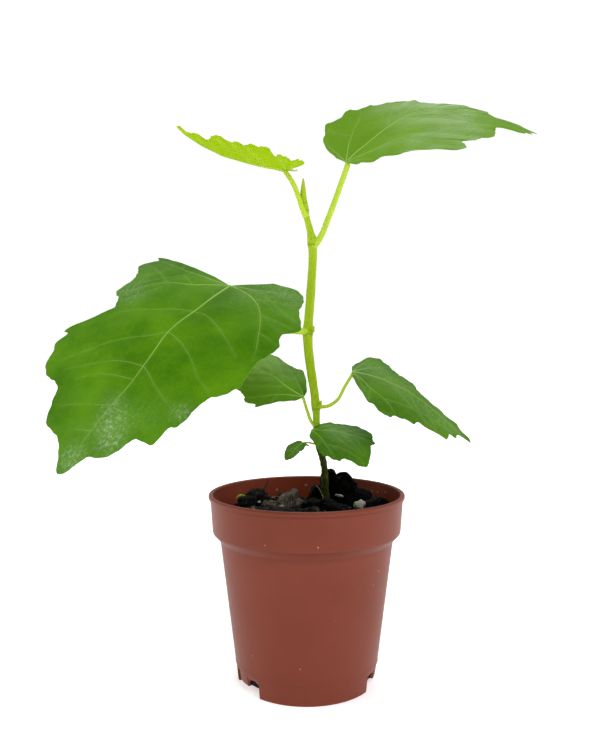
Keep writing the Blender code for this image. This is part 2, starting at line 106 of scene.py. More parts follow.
LEAVES = {
    "leaf_large": {
        "base": (-33.0, -21.0, 179.9), "tip": (-89.9, -76.0, 107.1),
        "roll": -21.5, "arch": 8.5, "droop": 6.8,
        "left": (
            (3, 99.7), (4, 98), (7, 97.1), (11, 91.7), (12, 89.3), (14, 87.1), (18, 88.3), (21, 81.7),
            (22, 80.6), (23, 80.6), (24, 79.2), (25, 77.8), (28, 71.9), (32, 67.4), (36, 66.8), (39, 65.2),
            (41, 64.3), (43, 60.8), (45, 58.1), (49, 53.5), (57, 50.5), (61, 48.6), (64, 44.1), (68, 42.6),
            (75, 44.8), (81, 41.4), (84, 38.9), (91, 35.2), (99, 33.9), (107, 32.4), (111, 31), (117, 28.2),
            (122, 23.6), (128, 18.2),
        ),
        "right": (
            (1, 107.4), (3, 102.4), (5, 98.3), (7, 96.6), (12, 95.5), (16, 88.8), (17, 87.3), (19, 83.3),
            (22, 82.6), (27, 84.2), (33, 82.5), (34, 81.4), (38, 77.9), (40, 77.7), (42, 71.4), (45, 73.4),
            (46, 67.9), (47, 57), (49, 50.5), (52, 50), (58, 49.9), (62, 52.2), (67, 54),
            (71, 52.2), (77, 50.7), (87, 55.4), (95, 63.8), (98, 61.4), (99, 59.2), (101, 57.4),
            (104, 63.1), (104.5, 52), (104.8, 36), (105.2, 20), (107, 9),
        ),
        "stalk": ((0.5, 5.6, 160.6), (-6.5, 0.0, 160.6), (-16.0, -8.0, 164.0), (-27.0, -17.0, 172.5)),
        "stalk_radius": (1.35, 1.0),
        "mains": (
            (0.62, ((0, 0), (10, 0), (21, 0), (32, -1), (38, -1), (49, 1), (57, 2), (66, 3), (81, 2),
                    (104, 0))),
            (0.46, ((0, 0), (2, 11), (6, 19), (13, 26), (24, 33), (34, 38), (43, 41))),
            (0.46, ((0, 0), (4, -10), (7, -17), (8, -23), (9, -28), (11, -33), (17, -40), (22, -47))),
            (0.30, ((0, 0), (-2, 9), (-6, 19), (-9, 27))),
            (0.32, ((0, 0), (-1, -12), (-3, -26), (-7, -42), (-11, -55))),
        ),
        "branches": (
            ((38, -1), (43, -7), (46, -13), (53, -23), (57, -27), (65, -36), (69, -40)),
            ((38, -1), (40, 6), (44, 14), (48, 20), (52, 25), (56, 34)),
            ((23, -1), (23, 6), (27, 16), (31, 23), (37, 32)),
            ((57, 2), (58, -6), (60, -13), (66, -24), (70, -32)),
            ((57, 2), (60, 8), (63, 13), (67, 22)),
            ((64, 2), (67, -13), (72, -22)),
            ((77, 2), (80, -7), (83, -16), (85, -20)),
            ((76, 2), (79, 8), (82, 15)),
            ((89, 1), (91, -6), (93, -10)),
            ((23, -1), (25, -8), (28, -16), (31, -25), (36, -35)),
        ),
        "forks": ((1, 0.30, 1), (1, 0.52, 1), (1, 0.74, 1), (2, 0.35, -1), (2, 0.6, -1), (2, 0.55, 1),
                  (4, 0.45, 1), (4, 0.62, -1), (3, 0.5, -1)),
        "gloss_and_painted_sheen": (
            (84, 8, 6, 1.0), (90, 12, 4.5, 0.8), (77, 3, 5, 0.5), (101, 1, 5, 0.9), (68, 30, 3.5, 0.8),
            (74, 20, 8, 0.15), (17, -45, 8, 0.6), (24, -36, 8, 0.4), (4, 14, 10, 0.2), (-8, 22, 9, 0.3),
        ),
        "wet": 0.55, "fork_angle": 52.0, "quilt": 0.42, "teeth": 0.0016, "columns": 300, "rows": 108,
    },
    "leaf_top_right": {
        "base": (18.0, 1.2, 237.5), "tip": (106.1, 5.0, 250.9),
        "roll": 38.0, "arch": 15.0,
        "left": (
            (1, 78), (2, 68.9), (4, 66.9), (6, 67.9), (9, 59.9), (10, 59.7), (11, 58.2), (14, 53.7),
            (15, 51.8), (19, 48), (26, 43.8), (28, 43.2), (31, 43.9), (34, 42.6), (46, 40.1), (52, 39.7),
            (56, 38.9), (64, 40.5), (74, 41.7), (75, 42.7), (80, 45.7), (84, 43.3), (87, 44.3), (90, 45.1),
            (91, 46.5), (92, 48.1), (93, 48.3), (95, 43.7), (96, 40), (97, 38.1), (98, 38.5), (99, 36.8),
            (100, 34.6), (101, 30.8), (102, 28.3), (103, 24.1), (104, 18), (106, 10.9),
        ),
        "right": (
            (1, 86.1), (2, 84.3), (3, 85.1), (4, 83.5), (6, 80.4), (7, 80), (10, 66.6), (13, 65.6),
            (19, 65.2), (23, 62.5), (24, 60.2), (28, 57.9), (30, 52.9), (36, 56.5), (39, 54), (41, 39.6),
            (45, 31.6), (47, 28.8), (48, 23.6), (50, 19.6), (51, 19.9), (53, 19.2), (57, 17.9), (58, 11),
            (62, 10.6), (66, 8.8),
        ),
        "stalk": ((2.6, 4.5, 199.5), (5.6, 4.2, 202.9), (10.2, 3.2, 213.2), (15.7, 1.9, 227.9)),
        "stalk_radius": (1.42, 1.28),
        "mains": (
            (0.66, ((0, 0), (5, 2), (10, 3), (19, 6), (28, 9.5), (35, 10), (41, 8.5), (52, 4), (64, 1.5),
                    (84, 0))),
            (0.52, ((0, 0), (4, 14), (9, 25), (12, 30), (14, 37))),
            (0.36, ((0, 0), (12, -6), (22, -7.5), (31, -10), (41, -16), (50, -22))),
            (0.26, ((0, 0), (-2, 12), (-4, 23), (-5, 33))),
            (0.22, ((0, 0), (5, -6), (10, -12))),
        ),
        "forks": ((0, 0.26, 1), (0, 0.36, -1), (0, 0.47, 1), (0, 0.62, -1), (0, 0.7, 1), (1, 0.5, 1),
                  (2, 0.5, -1)),
        "gloss_and_painted_sheen": (
            (33, 20, 9, 0.9), (44, 12, 7, 0.7), (56, 5, 6, 0.6), (66, 2, 6, 0.6), (20, 30, 7, 0.6),
            (30, -16, 5, 0.6), (42, -12, 5, 0.6), (52, -9, 5, 0.5), (16, -8, 5, 0.8), (6, -4, 4, 0.4),
        ),
        "fresh": (0.55, 0.5), "wet": 0.12, "quilt": 0.24, "teeth": 0.0022, "columns": 270, "rows": 90,
    },
    "leaf_top_left": {
        "base": (-9.3, 3.0, 234.3), "tip": (-57.6, -8.0, 251.2),
        "roll": 0.0, "arch": -2.4, "sag": 1.8, "fold": 0.37,
        "left": (
            (2, 48.8), (5, 44.4), (7, 40.8), (9, 37.4), (14, 38), (17, 35.4), (18, 32.2), (19, 32.6),
            (21, 30.2), (24, 27), (27, 24.8), (28, 24.8), (29, 24.2), (32, 23), (35, 22), (38, 20.3),
            (41, 19.6), (42, 18.8), (44, 17.4), (46, 16.4), (47, 13.1), (50, 11.8), (51, 11), (53, 12.1),
            (54, 11.8), (58, 12), (67, 11.4), (74, 8.9), (87, 7.9), (96, 9), (100, 10.2), (114, 9.3),
            (122, 9.8), (131, 8.8),
        ),
        "right": ((4, 46.1), (11, 37), (16, 33.5), (22, 28), (41, 20), (82, 12.5), (117, 11.1), (134, 8)),
        "stalk": ((-0.3, 3.9, 213.5), (-2.1, 2.2, 216.8), (-3.4, 1.3, 220.7), (-6.4, 1.8, 228.2)),
        "stalk_radius": (1.2, 1.12),
        "mains": (
            (0.62, ((0, 0), (10, 0), (20, 0), (32, 0), (50, 0))),
            (0.34, ((0, 0), (5, 7), (10, 13), (13, 18))),
            (0.34, ((0, 0), (5, -7), (10, -13), (13, -18))),
            (0.24, ((0, 0), (-2, 6), (-4, 11))),
            (0.24, ((0, 0), (-2, -6), (-4, -11))),
        ),
        "forks": ((0, 0.2, 1), (0, 0.22, -1), (0, 0.34, 1), (0, 0.37, -1), (0, 0.49, 1), (0, 0.52, -1),
                  (0, 0.64, 1), (0, 0.67, -1), (0, 0.78, 1), (0, 0.8, -1), (1, 0.5, 1), (2, 0.5, -1)),
        "wet": 0.05, "fork_angle": 48.0, "quilt": 0.3, "wave": 0.5, "teeth": 0.006,
        "columns": 230, "rows": 56,
    },
    "leaf_mid_right": {
        "base": (20.6, -3.9, 142.2), "tip": (72.6, -14.8, 111.2),
        "roll": 26.0, "arch": 3.0, "fold": -0.02, "droop": 3.1,
        "left": (
            (1, 60.9), (3, 55.6), (4, 53.4), (5, 52.9), (7, 46.7), (9, 42.8), (12, 37.7), (19, 32.9),
            (22, 31.3), (29, 30.2), (38, 26.7), (43, 24.3), (44, 24.8), (54, 23.3), (64, 24.7), (68, 24.7),
            (77, 25.6), (79, 24.2), (82, 23.7), (87, 20.3), (94, 10.3), (99, 8.6), (105, 6), (110, 5.3),
        ),
        "right": (
            (1, 57.1), (2, 54.6), (5, 54.9), (6, 51.8), (8, 51.9), (10, 52.6), (13, 46.6), (16, 41.3),
            (17, 38.9), (21, 38.7), (23, 36.3), (28, 33), (30, 31.1), (34, 31.8), (37, 30.8), (41, 27.4),
            (43, 23.9), (45, 22.2), (47, 21.8), (50, 16.2), (51, 14.5), (52, 13.8), (53, 10.6), (54, 10.1),
            (60, 5.2), (62, 4.8),
        ),
        "stalk": ((4.3, 6.7, 125.4), (10.1, 2.8, 126.1), (14.2, 0.6, 129.1), (17.3, -1.7, 135.1)),
        "stalk_radius": (0.9, 0.72),
        "mains": (
            (0.48, ((0, 0), (7, 3.5), (12, 4.5), (18, 5.5), (23, 6), (34, 4.5), (46, 2), (58, 0))),
            (0.30, ((0, 0), (4, 8), (8, 14), (11, 19))),
            (0.34, ((0, 0), (8, -4), (13, -7), (18, -8.5), (24, -12), (29, -17))),
            (0.22, ((0, 0), (1, 9), (2, 17))),
            (0.20, ((0, 0), (6, -5), (10, -10))),
        ),
        "forks": ((0, 0.24, 1), (0, 0.32, -1), (0, 0.4, 1), (0, 0.47, -1), (0, 0.57, 1), (0, 0.62, -1),
                  (0, 0.75, 1), (0, 0.78, -1), (1, 0.5, 1), (2, 0.45, -1), (2, 0.7, 1)),
        "gloss_and_painted_sheen": (
            (8, 10, 8, 0.6), (18, 8, 8, 0.6), (26, 5, 8, 0.6), (36, 1, 8, 0.6), (46, 0, 7, 0.7),
            (54, 0, 5, 0.7),
        ),
        "fresh": (0.0, 0.1), "wet": 0.15, "painted_shade": 0.3, "fork_angle": 48.0, "columns": 220, "rows": 66,
    },
    "leaf_back_left": {
        "base": (-1.3, 12.0, 129.6), "tip": (-38.2, 27.4, 147.5),
        "roll": -28.0, "arch": 3.0, "droop": 3.0,
        "left": (
            (7, 39.8), (20, 34), (33, 32.8), (37, 30.3), (44, 28.6), (46, 29.2), (49, 28.9), (55, 24.9),
            (58, 25.4), (59, 19.4), (60, 14.2), (67, 8.2), (74, 5.4),
        ),
        "right": (
            (10, 38.7), (22, 38), (30, 33), (35, 27), (38, 23), (42, 22), (48, 19.8), (55, 20.6), (57, 19.6),
            (59, 16.7), (62, 14.1), (66, 8.8), (78, 4),
        ),
        "stalk": ((4.7, 7.0, 115.5), (2.4, 8.2, 117.8), (0.4, 10.0, 122.6)),
        "stalk_radius": (0.85, 0.68),
        "mains": (
            (0.42, ((0, 0), (6, 1), (12, 1), (16, 0), (21, 0), (29, 0), (41, 0))),
            (0.28, ((0, 0), (8, 7), (15, 15), (20, 20))),
            (0.28, ((0, 0), (8, -6), (16, -11), (24, -17))),
        ),
        "forks": ((0, 0.25, 1), (0, 0.3, -1), (0, 0.42, 1), (0, 0.47, -1), (0, 0.6, 1), (0, 0.65, -1),
                  (0, 0.78, 1), (1, 0.5, 1), (2, 0.5, -1)),
        "gloss_and_painted_sheen": ((9, -8, 6, 0.4), (20, -14, 7, 0.3)),
        # The tip's strong yellow-green is painted light shining through this leaf in the large leaf's shade.
        "fresh": (0.0, 1.2), "wet": 0.15, "painted_shade": 0.25, "columns": 170, "rows": 52,
    },
    "leaf_low_right": {
        "base": (2.2, 2.5, 114.9), "tip": (30.9, -8.0, 109.7),
        "roll": 24.0, "arch": 2.0, "droop": 2.3,
        "left": (
            (5, 29), (12, 28.4), (22, 23.6), (29, 19.7), (31, 16.9), (33, 16), (42, 12.1), (61, 9.8),
            (70, 6.7), (82, 6.7),
        ),
        "right": (
            (4, 29.8), (12, 31.9), (18, 33.5), (25, 35.4), (28, 34.1), (31, 31.3), (32, 29.1), (33, 28.3),
            (37, 26.6), (40, 26.8), (42, 25.8), (45, 25), (48, 22.4), (53, 21), (62, 11), (80, 5),
        ),
        "stalk": ((4.8, 7.0, 113.2), (3.6, 4.9, 113.6)),
        "stalk_radius": (0.85, 0.75),
        "mains": (
            (0.36, ((0, 0), (8, 0.6), (16, 0.8), (24, 0.3), (29.5, 0))),
            (0.22, ((0, 0), (5, 4), (10, 7.5))),
            (0.24, ((0, 0), (6, -5), (12, -11), (17, -16))),
        ),
        "forks": ((0, 0.3, 1), (0, 0.34, -1), (0, 0.5, 1), (0, 0.55, -1), (0, 0.7, 1), (0, 0.74, -1),
                  (2, 0.45, -1), (2, 0.65, 1)),
        "gloss_and_painted_sheen": ((14, 1, 7, 0.3), (22, -4, 7, 0.3)),
        "wet": 0.2, "painted_shade": 0.35, "quilt": 0.16, "wave": 0.14, "teeth": 0.004, "columns": 170, "rows": 46,
    },
    "leaf_low_left": {
        "base": (-1.8, 3.0, 109.0), "tip": (-9.7, -3.0, 101.7),
        "roll": -20.0, "arch": 0.8, "droop": 0.6,
        "left": (
            (6, 11.6), (19, 9.1), (22, 8), (27, 7), (30, 5.8), (32, 5.9), (71, 2.9), (93, 4), (99, 2.1),
            (110, 1.4),
        ),
        "right": ((12, 10.8), (32, 8.1), (37, 7.7), (55, 4.8), (89, 2.7), (110, 1.4)),
        "stalk": ((5.4, 7.2, 107.6), (2.4, 5.5, 108.3), (0.2, 4.1, 108.9)),
        "stalk_radius": (0.45, 0.4),
        "mains": ((0.2, ((0, 0), (4, 0), (8, 0), (11.5, 0))),),
        "forks": ((0, 0.3, 1), (0, 0.36, -1), (0, 0.55, 1), (0, 0.6, -1)),
        "gloss_and_painted_sheen": ((5, 0, 5, 0.5),),
        "wet": 0.1, "painted_shade": 0.6, "fork_angle": 42.0, "quilt": 0.16, "wave": 0.1, "teeth": 0.006,
        "columns": 90, "rows": 26,
    },
}
BLADE_THICKNESS = 0.34
FLAT_STEP = 7.0  # keeps the leaves' patterns apart: leaf number k starts at k times this

# Camera: the photo's height and focal length in its pixels, its middle's offset from the pot's axis, and
# the place in metres and downward pitch in radians
PHOTO_HEIGHT = 752
FOCAL_PIXELS = 785
MIDDLE_OFFSET = -6.7
CAMERA_PLACE = (0, -0.360, 0.1548)
CAMERA_PITCH = 0.041


# ---- Curves and noise, as whole arrays

def curve(knots, values, at, limited=True):
    """Cubic through the values at the knots, each value's slope being the weighted harmonic mean of the
    slopes on its two sides, or their plain mean where it isn't limited."""
    knots = np.asarray(knots, float)
    values = np.asarray(values, float).reshape(len(knots), -1)
    at = np.clip(np.asarray(at, float), knots[0], knots[-1])
    step = np.diff(knots)[:, None]
    slope = np.diff(values, axis=0) / step
    bend = np.zeros_like(values)
    bend[0], bend[-1] = slope[0], slope[-1]
    if limited:
        a, b = 2 * step[1:] + step[:-1], step[1:] + 2 * step[:-1]
        both = np.where(slope[:-1] * slope[1:] > 0, slope[:-1] * slope[1:], np.nan)
        bend[1:-1] = np.nan_to_num((a + b) * both / (a * slope[1:] + b * slope[:-1]))
    else:
        bend[1:-1] = (slope[:-1] * step[1:] + slope[1:] * step[:-1]) / (step[1:] + step[:-1])
    i = np.clip(np.searchsorted(knots, at, side="right") - 1, 0, len(knots) - 2)
    t = ((at - knots[i]) / (knots[i + 1] - knots[i]))[:, None]
    h = step[i]
    made = (values[i] * (1 + 2 * t) * (1 - t) ** 2 + bend[i] * h * t * (1 - t) ** 2
            + values[i + 1] * t * t * (3 - 2 * t) + bend[i + 1] * h * t * t * (t - 1))
    return made[:, 0] if made.shape[1] == 1 else made


def path_through(points, count):
    """Points evenly spread along a smooth curve through the given ones."""
    points = np.asarray(points, float)
    run = np.concatenate([[0.0], np.cumsum(np.linalg.norm(np.diff(points, axis=0), axis=1))])
    return curve(run, points, np.linspace(0, run[-1], count), limited=False)


def ripple(places, size, seed, waves=7):
    """Smooth noise about 0: a mean of sine waves in random directions, near the given wavelength."""
    draw = np.random.default_rng(seed)
    places = np.asarray(places, float)
    total = np.zeros(places.shape[:-1])
    for _ in range(waves):
        way = draw.normal(size=places.shape[-1])
        way *= 2 * math.pi / size * draw.uniform(0.6, 1.6) / np.linalg.norm(way)
        total += np.sin(places @ way + draw.uniform(0, 2 * math.pi))
    return total / math.sqrt(waves)


def smooth(low, high, x):
    """0 below low and 1 above high, with a soft S between."""
    t = np.clip((np.asarray(x, float) - low) / (high - low), 0, 1)
    return t * t * (3 - 2 * t)


# ---- Meshes from grids

def grid_faces(rows, columns, start=0, wrap=False, flip=False):
    """Four-sided faces of a grid numbered row by row. A wrapped grid joins its last column to its first."""
    i = np.arange(rows - 1)[:, None]
    j = np.arange(columns if wrap else columns - 1)[None, :]
    a = start + i * columns + j
    b = start + i * columns + (j + 1) % columns
    faces = np.stack([a, b, b + columns, a + columns], -1).reshape(-1, 4)
    return faces[:, ::-1] if flip else faces


def closed_tube(grid, ends, flip=False):
    """A grid of rings and a point at each end of it: the points, and the faces with a fan to each end."""
    rows, around = grid.shape[:2]
    count = rows * around
    ring = np.arange(around)
    points = np.concatenate([grid.reshape(-1, 3), np.reshape(ends, (2, 3))])
    return points, [grid_faces(rows, around, wrap=True, flip=flip), fan_faces(count, ring, flip=not flip),
                    fan_faces(count + 1, count - around + ring, flip=flip)]


def round_turns(count):
    """Angles evenly spread over a full turn, in radians."""
    return np.linspace(0, 2 * math.pi, count, endpoint=False)


def fan_faces(pole, ring, flip=False, wrap=True):
    """Three-sided faces from one point to a ring of points."""
    ring = np.asarray(ring)
    after = np.roll(ring, -1)
    faces = np.stack([np.full(len(ring), pole), ring, after], -1)
    faces = faces if wrap else faces[:-1]
    return faces[:, ::-1] if flip else faces


def add_object(name, data):
    made = bpy.data.objects.new(name, data)
    bpy.context.scene.collection.objects.link(made)
    return made


class Shape:
    """Points, faces and values at the points, gathered from several surfaces into one mesh. A surface
    added without a value has 0 there."""

    def __init__(self):
        self.points, self.faces, self.values, self.count = [], [], {}, 0

    def add(self, points, faces, **values):
        points = np.asarray(points, float).reshape(-1, 3)
        self.points.append(points)
        self.faces += [np.asarray(f) + self.count for f in faces]
        for name, value in values.items():
            value = np.asarray(value, float)
            if value.ndim < 2:
                value = np.broadcast_to(value, (len(points),))
            self.values.setdefault(name, []).append((self.count, value))
        self.count += len(points)

    def piece(self, name, replaces, material, sharp=48.0):
        """Makes the mesh object, riding on the one body, in place of its CAD nodes."""
        mesh = bpy.data.meshes.new(name)
        points = np.concatenate(self.points) * MM
        corners = np.concatenate([f.ravel() for f in self.faces])
        sides = np.concatenate([np.full(len(f), f.shape[1]) for f in self.faces])
        mesh.vertices.add(len(points))
        mesh.vertices.foreach_set("co", points.ravel())
        mesh.loops.add(len(corners))
        mesh.loops.foreach_set("vertex_index", corners)
        mesh.polygons.add(len(sides))
        mesh.polygons.foreach_set("loop_start", np.concatenate([[0], np.cumsum(sides)[:-1]]))
        mesh.update(calc_edges=True)
        for value_name, parts in self.values.items():
            wide = max(v.ndim for _, v in parts) == 2
            whole = np.zeros((len(points), 3) if wide else len(points))
            for start, value in parts:
                whole[start:start + len(value)] = value
            kind = "FLOAT_VECTOR" if wide else "FLOAT"
            layer = mesh.attributes.new(value_name, kind, "POINT")
            layer.data.foreach_set("vector" if wide else "value", whole.ravel())
        mesh.shade_smooth()
        mesh.set_sharp_from_angle(angle=math.radians(sharp))
        made = add_object(name, mesh)
        mesh.materials.append(material)
        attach(made, "root")
        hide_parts(*replaces)


def path_axes(path, aside):
    """Two unit axes across a path at each of its points. The first lies as near as it can to the
    direction "aside"."""
    tangent = np.gradient(path, axis=0)
    tangent /= np.linalg.norm(tangent, axis=1)[:, None]
    aside = np.broadcast_to(np.asarray(aside, float), path.shape)
    first = aside - tangent * np.sum(aside * tangent, axis=1)[:, None]
    first /= np.linalg.norm(first, axis=1)[:, None]
    return first, np.cross(tangent, first)


def limb(shape, path, radii, around, aside, **values):
    """A closed round limb: each ring is its path point plus radius times (cos, sin) on the cross axes.
    Radii are one to a path point, or one to a point of the grid."""
    first, second = path_axes(path, aside)
    turn = round_turns(around)
    radii = np.asarray(radii, float)
    if radii.ndim == 1:
        radii = np.repeat(radii[:, None], around, axis=1)
    grid = (path[:, None] + radii[:, :, None] * (np.cos(turn)[None, :, None] * first[:, None]
            + np.sin(turn)[None, :, None] * second[:, None]))
    shape.add(*closed_tube(grid, path[[0, -1]]), **values)


# ---- Materials

class Field:
    """One value in a node tree, with arithmetic that adds Math nodes."""

    def __init__(self, nodes, socket):
        self.nodes, self.socket = nodes, socket

    def _maths(self, operation, *values, clamp=False):
        return self.nodes.field("ShaderNodeMath", 0, {"operation": operation, "use_clamp": clamp}, *values)

    def __add__(self, other):
        return self._maths("ADD", self, other)

    def __sub__(self, other):
        return self._maths("SUBTRACT", self, other)

    def __rsub__(self, other):
        return self._maths("SUBTRACT", other, self)

    def __mul__(self, other):
        return self._maths("MULTIPLY", self, other)

    __radd__, __rmul__ = __add__, __mul__

    def between(self, low, high):
        """0 below low, 1 above high, straight between. With low above high it falls instead."""
        return self._maths("MULTIPLY_ADD", self, 1 / (high - low), -low / (high - low), clamp=True)


class Nodes:
    """A node tree, with one method that adds any node to it."""

    def __init__(self, tree):
        self.tree = tree

    def node(self, kind, settings=None, *ordered, **named):
        """Any node: its settings first, then its inputs in order or by name, as values or links."""
        made = self.tree.nodes.new(kind)
        for name, value in (settings or {}).items():
            setattr(made, name, value)
        for key, value in [*enumerate(ordered), *((n.replace("_", " "), v) for n, v in named.items())]:
            self.put(made.inputs[key], value)
        return made

    def put(self, socket, value):
        if isinstance(value, Field):
            self.tree.links.new(value.socket, socket)
        elif isinstance(value, tuple) and len(value) == 3 and socket.type == "RGBA":
            socket.default_value = (*value, 1.0)
        else:
            socket.default_value = value

    def field(self, kind, output, settings=None, *ordered, **named):
        return Field(self, self.node(kind, settings, *ordered, **named).outputs[output])


class Finish(Nodes):
    """A procedural material on one Principled shader."""

    def __init__(self, name, **constants):
        self.material = bpy.data.materials.new(name)
        self.material.use_nodes = True
        super().__init__(self.material.node_tree)
        self.shader = self.tree.nodes["Principled BSDF"]
        self.set_shader(**constants)

    def set_shader(self, **values):
        """Puts values or links into the shader's sockets by name."""
        for socket, value in values.items():
            self.put(self.shader.inputs[socket.replace("_", " ")], value)

    def mix(self, share, first, second):
        """A colour between two colours."""
        made = self.node("ShaderNodeMix", {"data_type": "RGBA"})
        for place, value in ((0, share), (6, first), (7, second)):
            self.put(made.inputs[place], value)
        return Field(self, made.outputs[2])

    def attribute(self, name, output="Fac"):
        return self.field("ShaderNodeAttribute", output, {"attribute_name": name})

    def place(self, scale=1000.0):
        """Object coordinates, in millimetres by default."""
        raw = self.field("ShaderNodeTexCoord", "Object")
        return self.field("ShaderNodeVectorMath", 0, {"operation": "SCALE"}, raw, Scale=scale)

    def noise(self, where, size, detail=3.0, roughness=0.55):
        return self.field("ShaderNodeTexNoise", "Fac", None, Vector=where, Scale=1 / size,
                          Detail=detail, Roughness=roughness)

    def cells(self, where, size, feature="DISTANCE_TO_EDGE"):
        return self.field("ShaderNodeTexVoronoi", "Distance", {"feature": feature}, Vector=where,
                          Scale=1 / size)

    def finish(self, colour, roughness, height, depth, strength, **more):
        """The material, with its colour, roughness, relief and any other inputs of the shader."""
        bump = self.field("ShaderNodeBump", 0, None, Height=height, Distance=depth * MM, Strength=strength)
        self.set_shader(Base_Color=colour, Roughness=roughness, Normal=bump, **more)
        return self.material


def rgb(red, green, blue):
    """The linear colour of a screen colour given from 0 to 255."""
    return tuple(((c / 255 + 0.055) / 1.055) ** 2.4 if c > 10 else c / 255 / 12.92 for c in (red, green, blue))


def leaf_finish(name, deep, light, under, rib, stalk, gloss, net_share):
    """Leaf skin: green that varies in soft patches between deep and light, yellow-green at the base and the tip
    that is partly its own and partly painted light, darkened and greyed as painted shade on the lower leaves,
    a faint net of veins between the modelled ones, paler beside each vein, with a glossy coat in places that
    also carry a painted sheen and painted speckled glints, and a duller pale underside.
    The ribs and the stalk take their own colours. The gloss is the least roughness, and the net's share
    is how much of the net shows."""
    made = Finish(name, Specular_IOR_Level=0.04, Coat_Roughness=0.24)
    flat = made.attribute("flat", "Vector")
    on_rib = made.attribute("rib")
    below = made.attribute("under")
    near = made.attribute("near")
    gloss_and_painted_sheen = made.attribute("gloss_and_painted_sheen")
    patches = made.noise(flat, 24.0, 3.0)
    fine = made.noise(flat, 0.75, 4.0, 0.65)
    net = made.cells(flat, 3.0)
    small_net = made.cells(flat, 1.1)
    lines = net.between(0.08, 0.0)
    small_lines = small_net.between(0.10, 0.0)
    halo = near.between(1.3, 0.05)
    green = made.mix(patches.between(0.32, 0.68), deep, light)
    # Yellow-green at base and tip: partly the leaf's own colour and partly painted light, as where light shines
    # through a leaf lying in shade.
    green = made.mix(made.attribute("fresh"), green, rgb(122, 168, 26))
    # Painted shade: the green darkened and greyed on the leaves lying low under the others.
    green = made.mix(made.attribute("painted_shade"), green, rgb(56, 88, 34))
    green = made.mix(lines * (0.06 * net_share) + small_lines * (0.03 * net_share) + halo * 0.10, green, rib)
    green = made.mix(fine.between(0.35, 0.75) * (0.06 + 0.1 * net_share), green, deep)
    speckle = made.noise(flat, 1.5, 5.0, 0.85).between(0.5, 0.62)
    glint = gloss_and_painted_sheen * speckle
    # Painted sheen: the green turned pale grey-green over the glossy patches.
    green = made.mix(gloss_and_painted_sheen * 0.22, green, rgb(146, 184, 108))
    # Painted glints: near-white speckles over the glossy patches.
    green = made.mix(glint * made.attribute("wet"), green, rgb(206, 226, 190))
    pale = made.mix(lines * (0.3 * net_share) + halo * 0.3, under, rib)
    skin = made.mix(below, green, pale)
    stalk_tone = made.noise(made.place(), 6.0, 2.0)
    rib_skin = made.mix(on_rib.between(1.0, 2.0), rib, stalk)
    rib_skin = made.mix(stalk_tone.between(0.3, 0.7) * 0.2, rib_skin, light)
    colour = made.mix(on_rib, skin, rib_skin)
    height = (net.between(0.0, 0.5) * (0.8 * net_share) + small_net.between(0.0, 0.4) * (0.4 * net_share)
              + fine * 0.7)
    roughness = below * 0.22 + fine * 0.10 + gloss
    return made.finish(colour, roughness, height * (1 - on_rib * 0.75), depth=0.10,
                       strength=0.05 + 0.32 * net_share, Coat_Weight=glint * 0.2)


def pot_finish():
    """Terracotta-coloured moulded plastic: satin, with a faint grain, faint flow clouds and pale specks. The
    inside
    is painted light: a lighter, redder copy of the outside's colour that offsets the shade inside the pot.
    """
    made = Finish("pot_plastic_satin", Specular_IOR_Level=0.17)
    where = made.place()
    clouds = made.noise(where, 30.0, 3.0)
    grain = made.noise(where, 0.45, 3.0, 0.6)
    scuff = made.noise(where, 3.0, 5.0, 0.7)
    specks = made.cells(where, 7.0, feature="F1")
    inside = made.attribute("inside")
    body = made.mix(clouds.between(0.3, 0.7), rgb(124, 57, 40), rgb(131, 62, 45))
    body = made.mix(scuff.between(0.64, 0.82) * 0.10, body, rgb(190, 130, 110))
    body = made.mix(specks.between(0.045, 0.03) * 0.5, body, rgb(225, 190, 170))
    body = made.mix(made.attribute("shade") * 0.45, body, rgb(84, 34, 22))
    body = made.mix(made.attribute("drop"), body, rgb(186, 142, 128))
    # Painted light: the inside of the pot and the floor's top take a lighter, redder copy of the plastic's
    # colour, offsetting the shade inside the pot.
    dark = made.mix(clouds.between(0.3, 0.7), rgb(138, 57, 38), rgb(154, 68, 48))
    dark = made.mix(scuff.between(0.56, 0.72) * 0.3, dark, rgb(150, 84, 70))
    colour = made.mix(inside, body, dark)
    roughness = 0.34 + grain * 0.10 + scuff * 0.08
    return made.finish(colour, roughness, grain, depth=0.04, strength=0.35)


def bark_finish():
    """Compost and bark soaked with water: nearly black, with tone from piece to piece, woody streaks and a
    watery gloss.
    """
    made = Finish("bark_dark", Specular_IOR_Level=0.02, Coat_Roughness=0.2)
    where = made.place()
    tone = made.attribute("tone")
    grain = made.noise(where, 0.8, 5.0, 0.7)
    broad = made.noise(where, 3.5, 3.0)
    stretched = made.field("ShaderNodeMapping", 0, None, Vector=where, Rotation=(0.5, 0.7, 0.3),
                           Scale=(2.4, 2.4, 0.35))
    fibre = made.noise(stretched, 1.0, 3.0, 0.6)
    base = made.mix(tone * tone, rgb(10, 10, 12), rgb(132, 116, 106))
    colour = made.mix(fibre.between(0.5, 0.7) * (tone * 0.9 + 0.02), base, rgb(190, 178, 168))
    colour = made.mix(broad.between(0.46, 0.7) * 0.7, colour, rgb(12, 11, 12))
    relief = grain * 0.6 + fibre * 0.8
    return made.finish(colour, 0.3 + grain * 0.4, relief, depth=0.6, strength=0.9,
                       Coat_Weight=grain.between(0.56, 0.6) * 0.16)


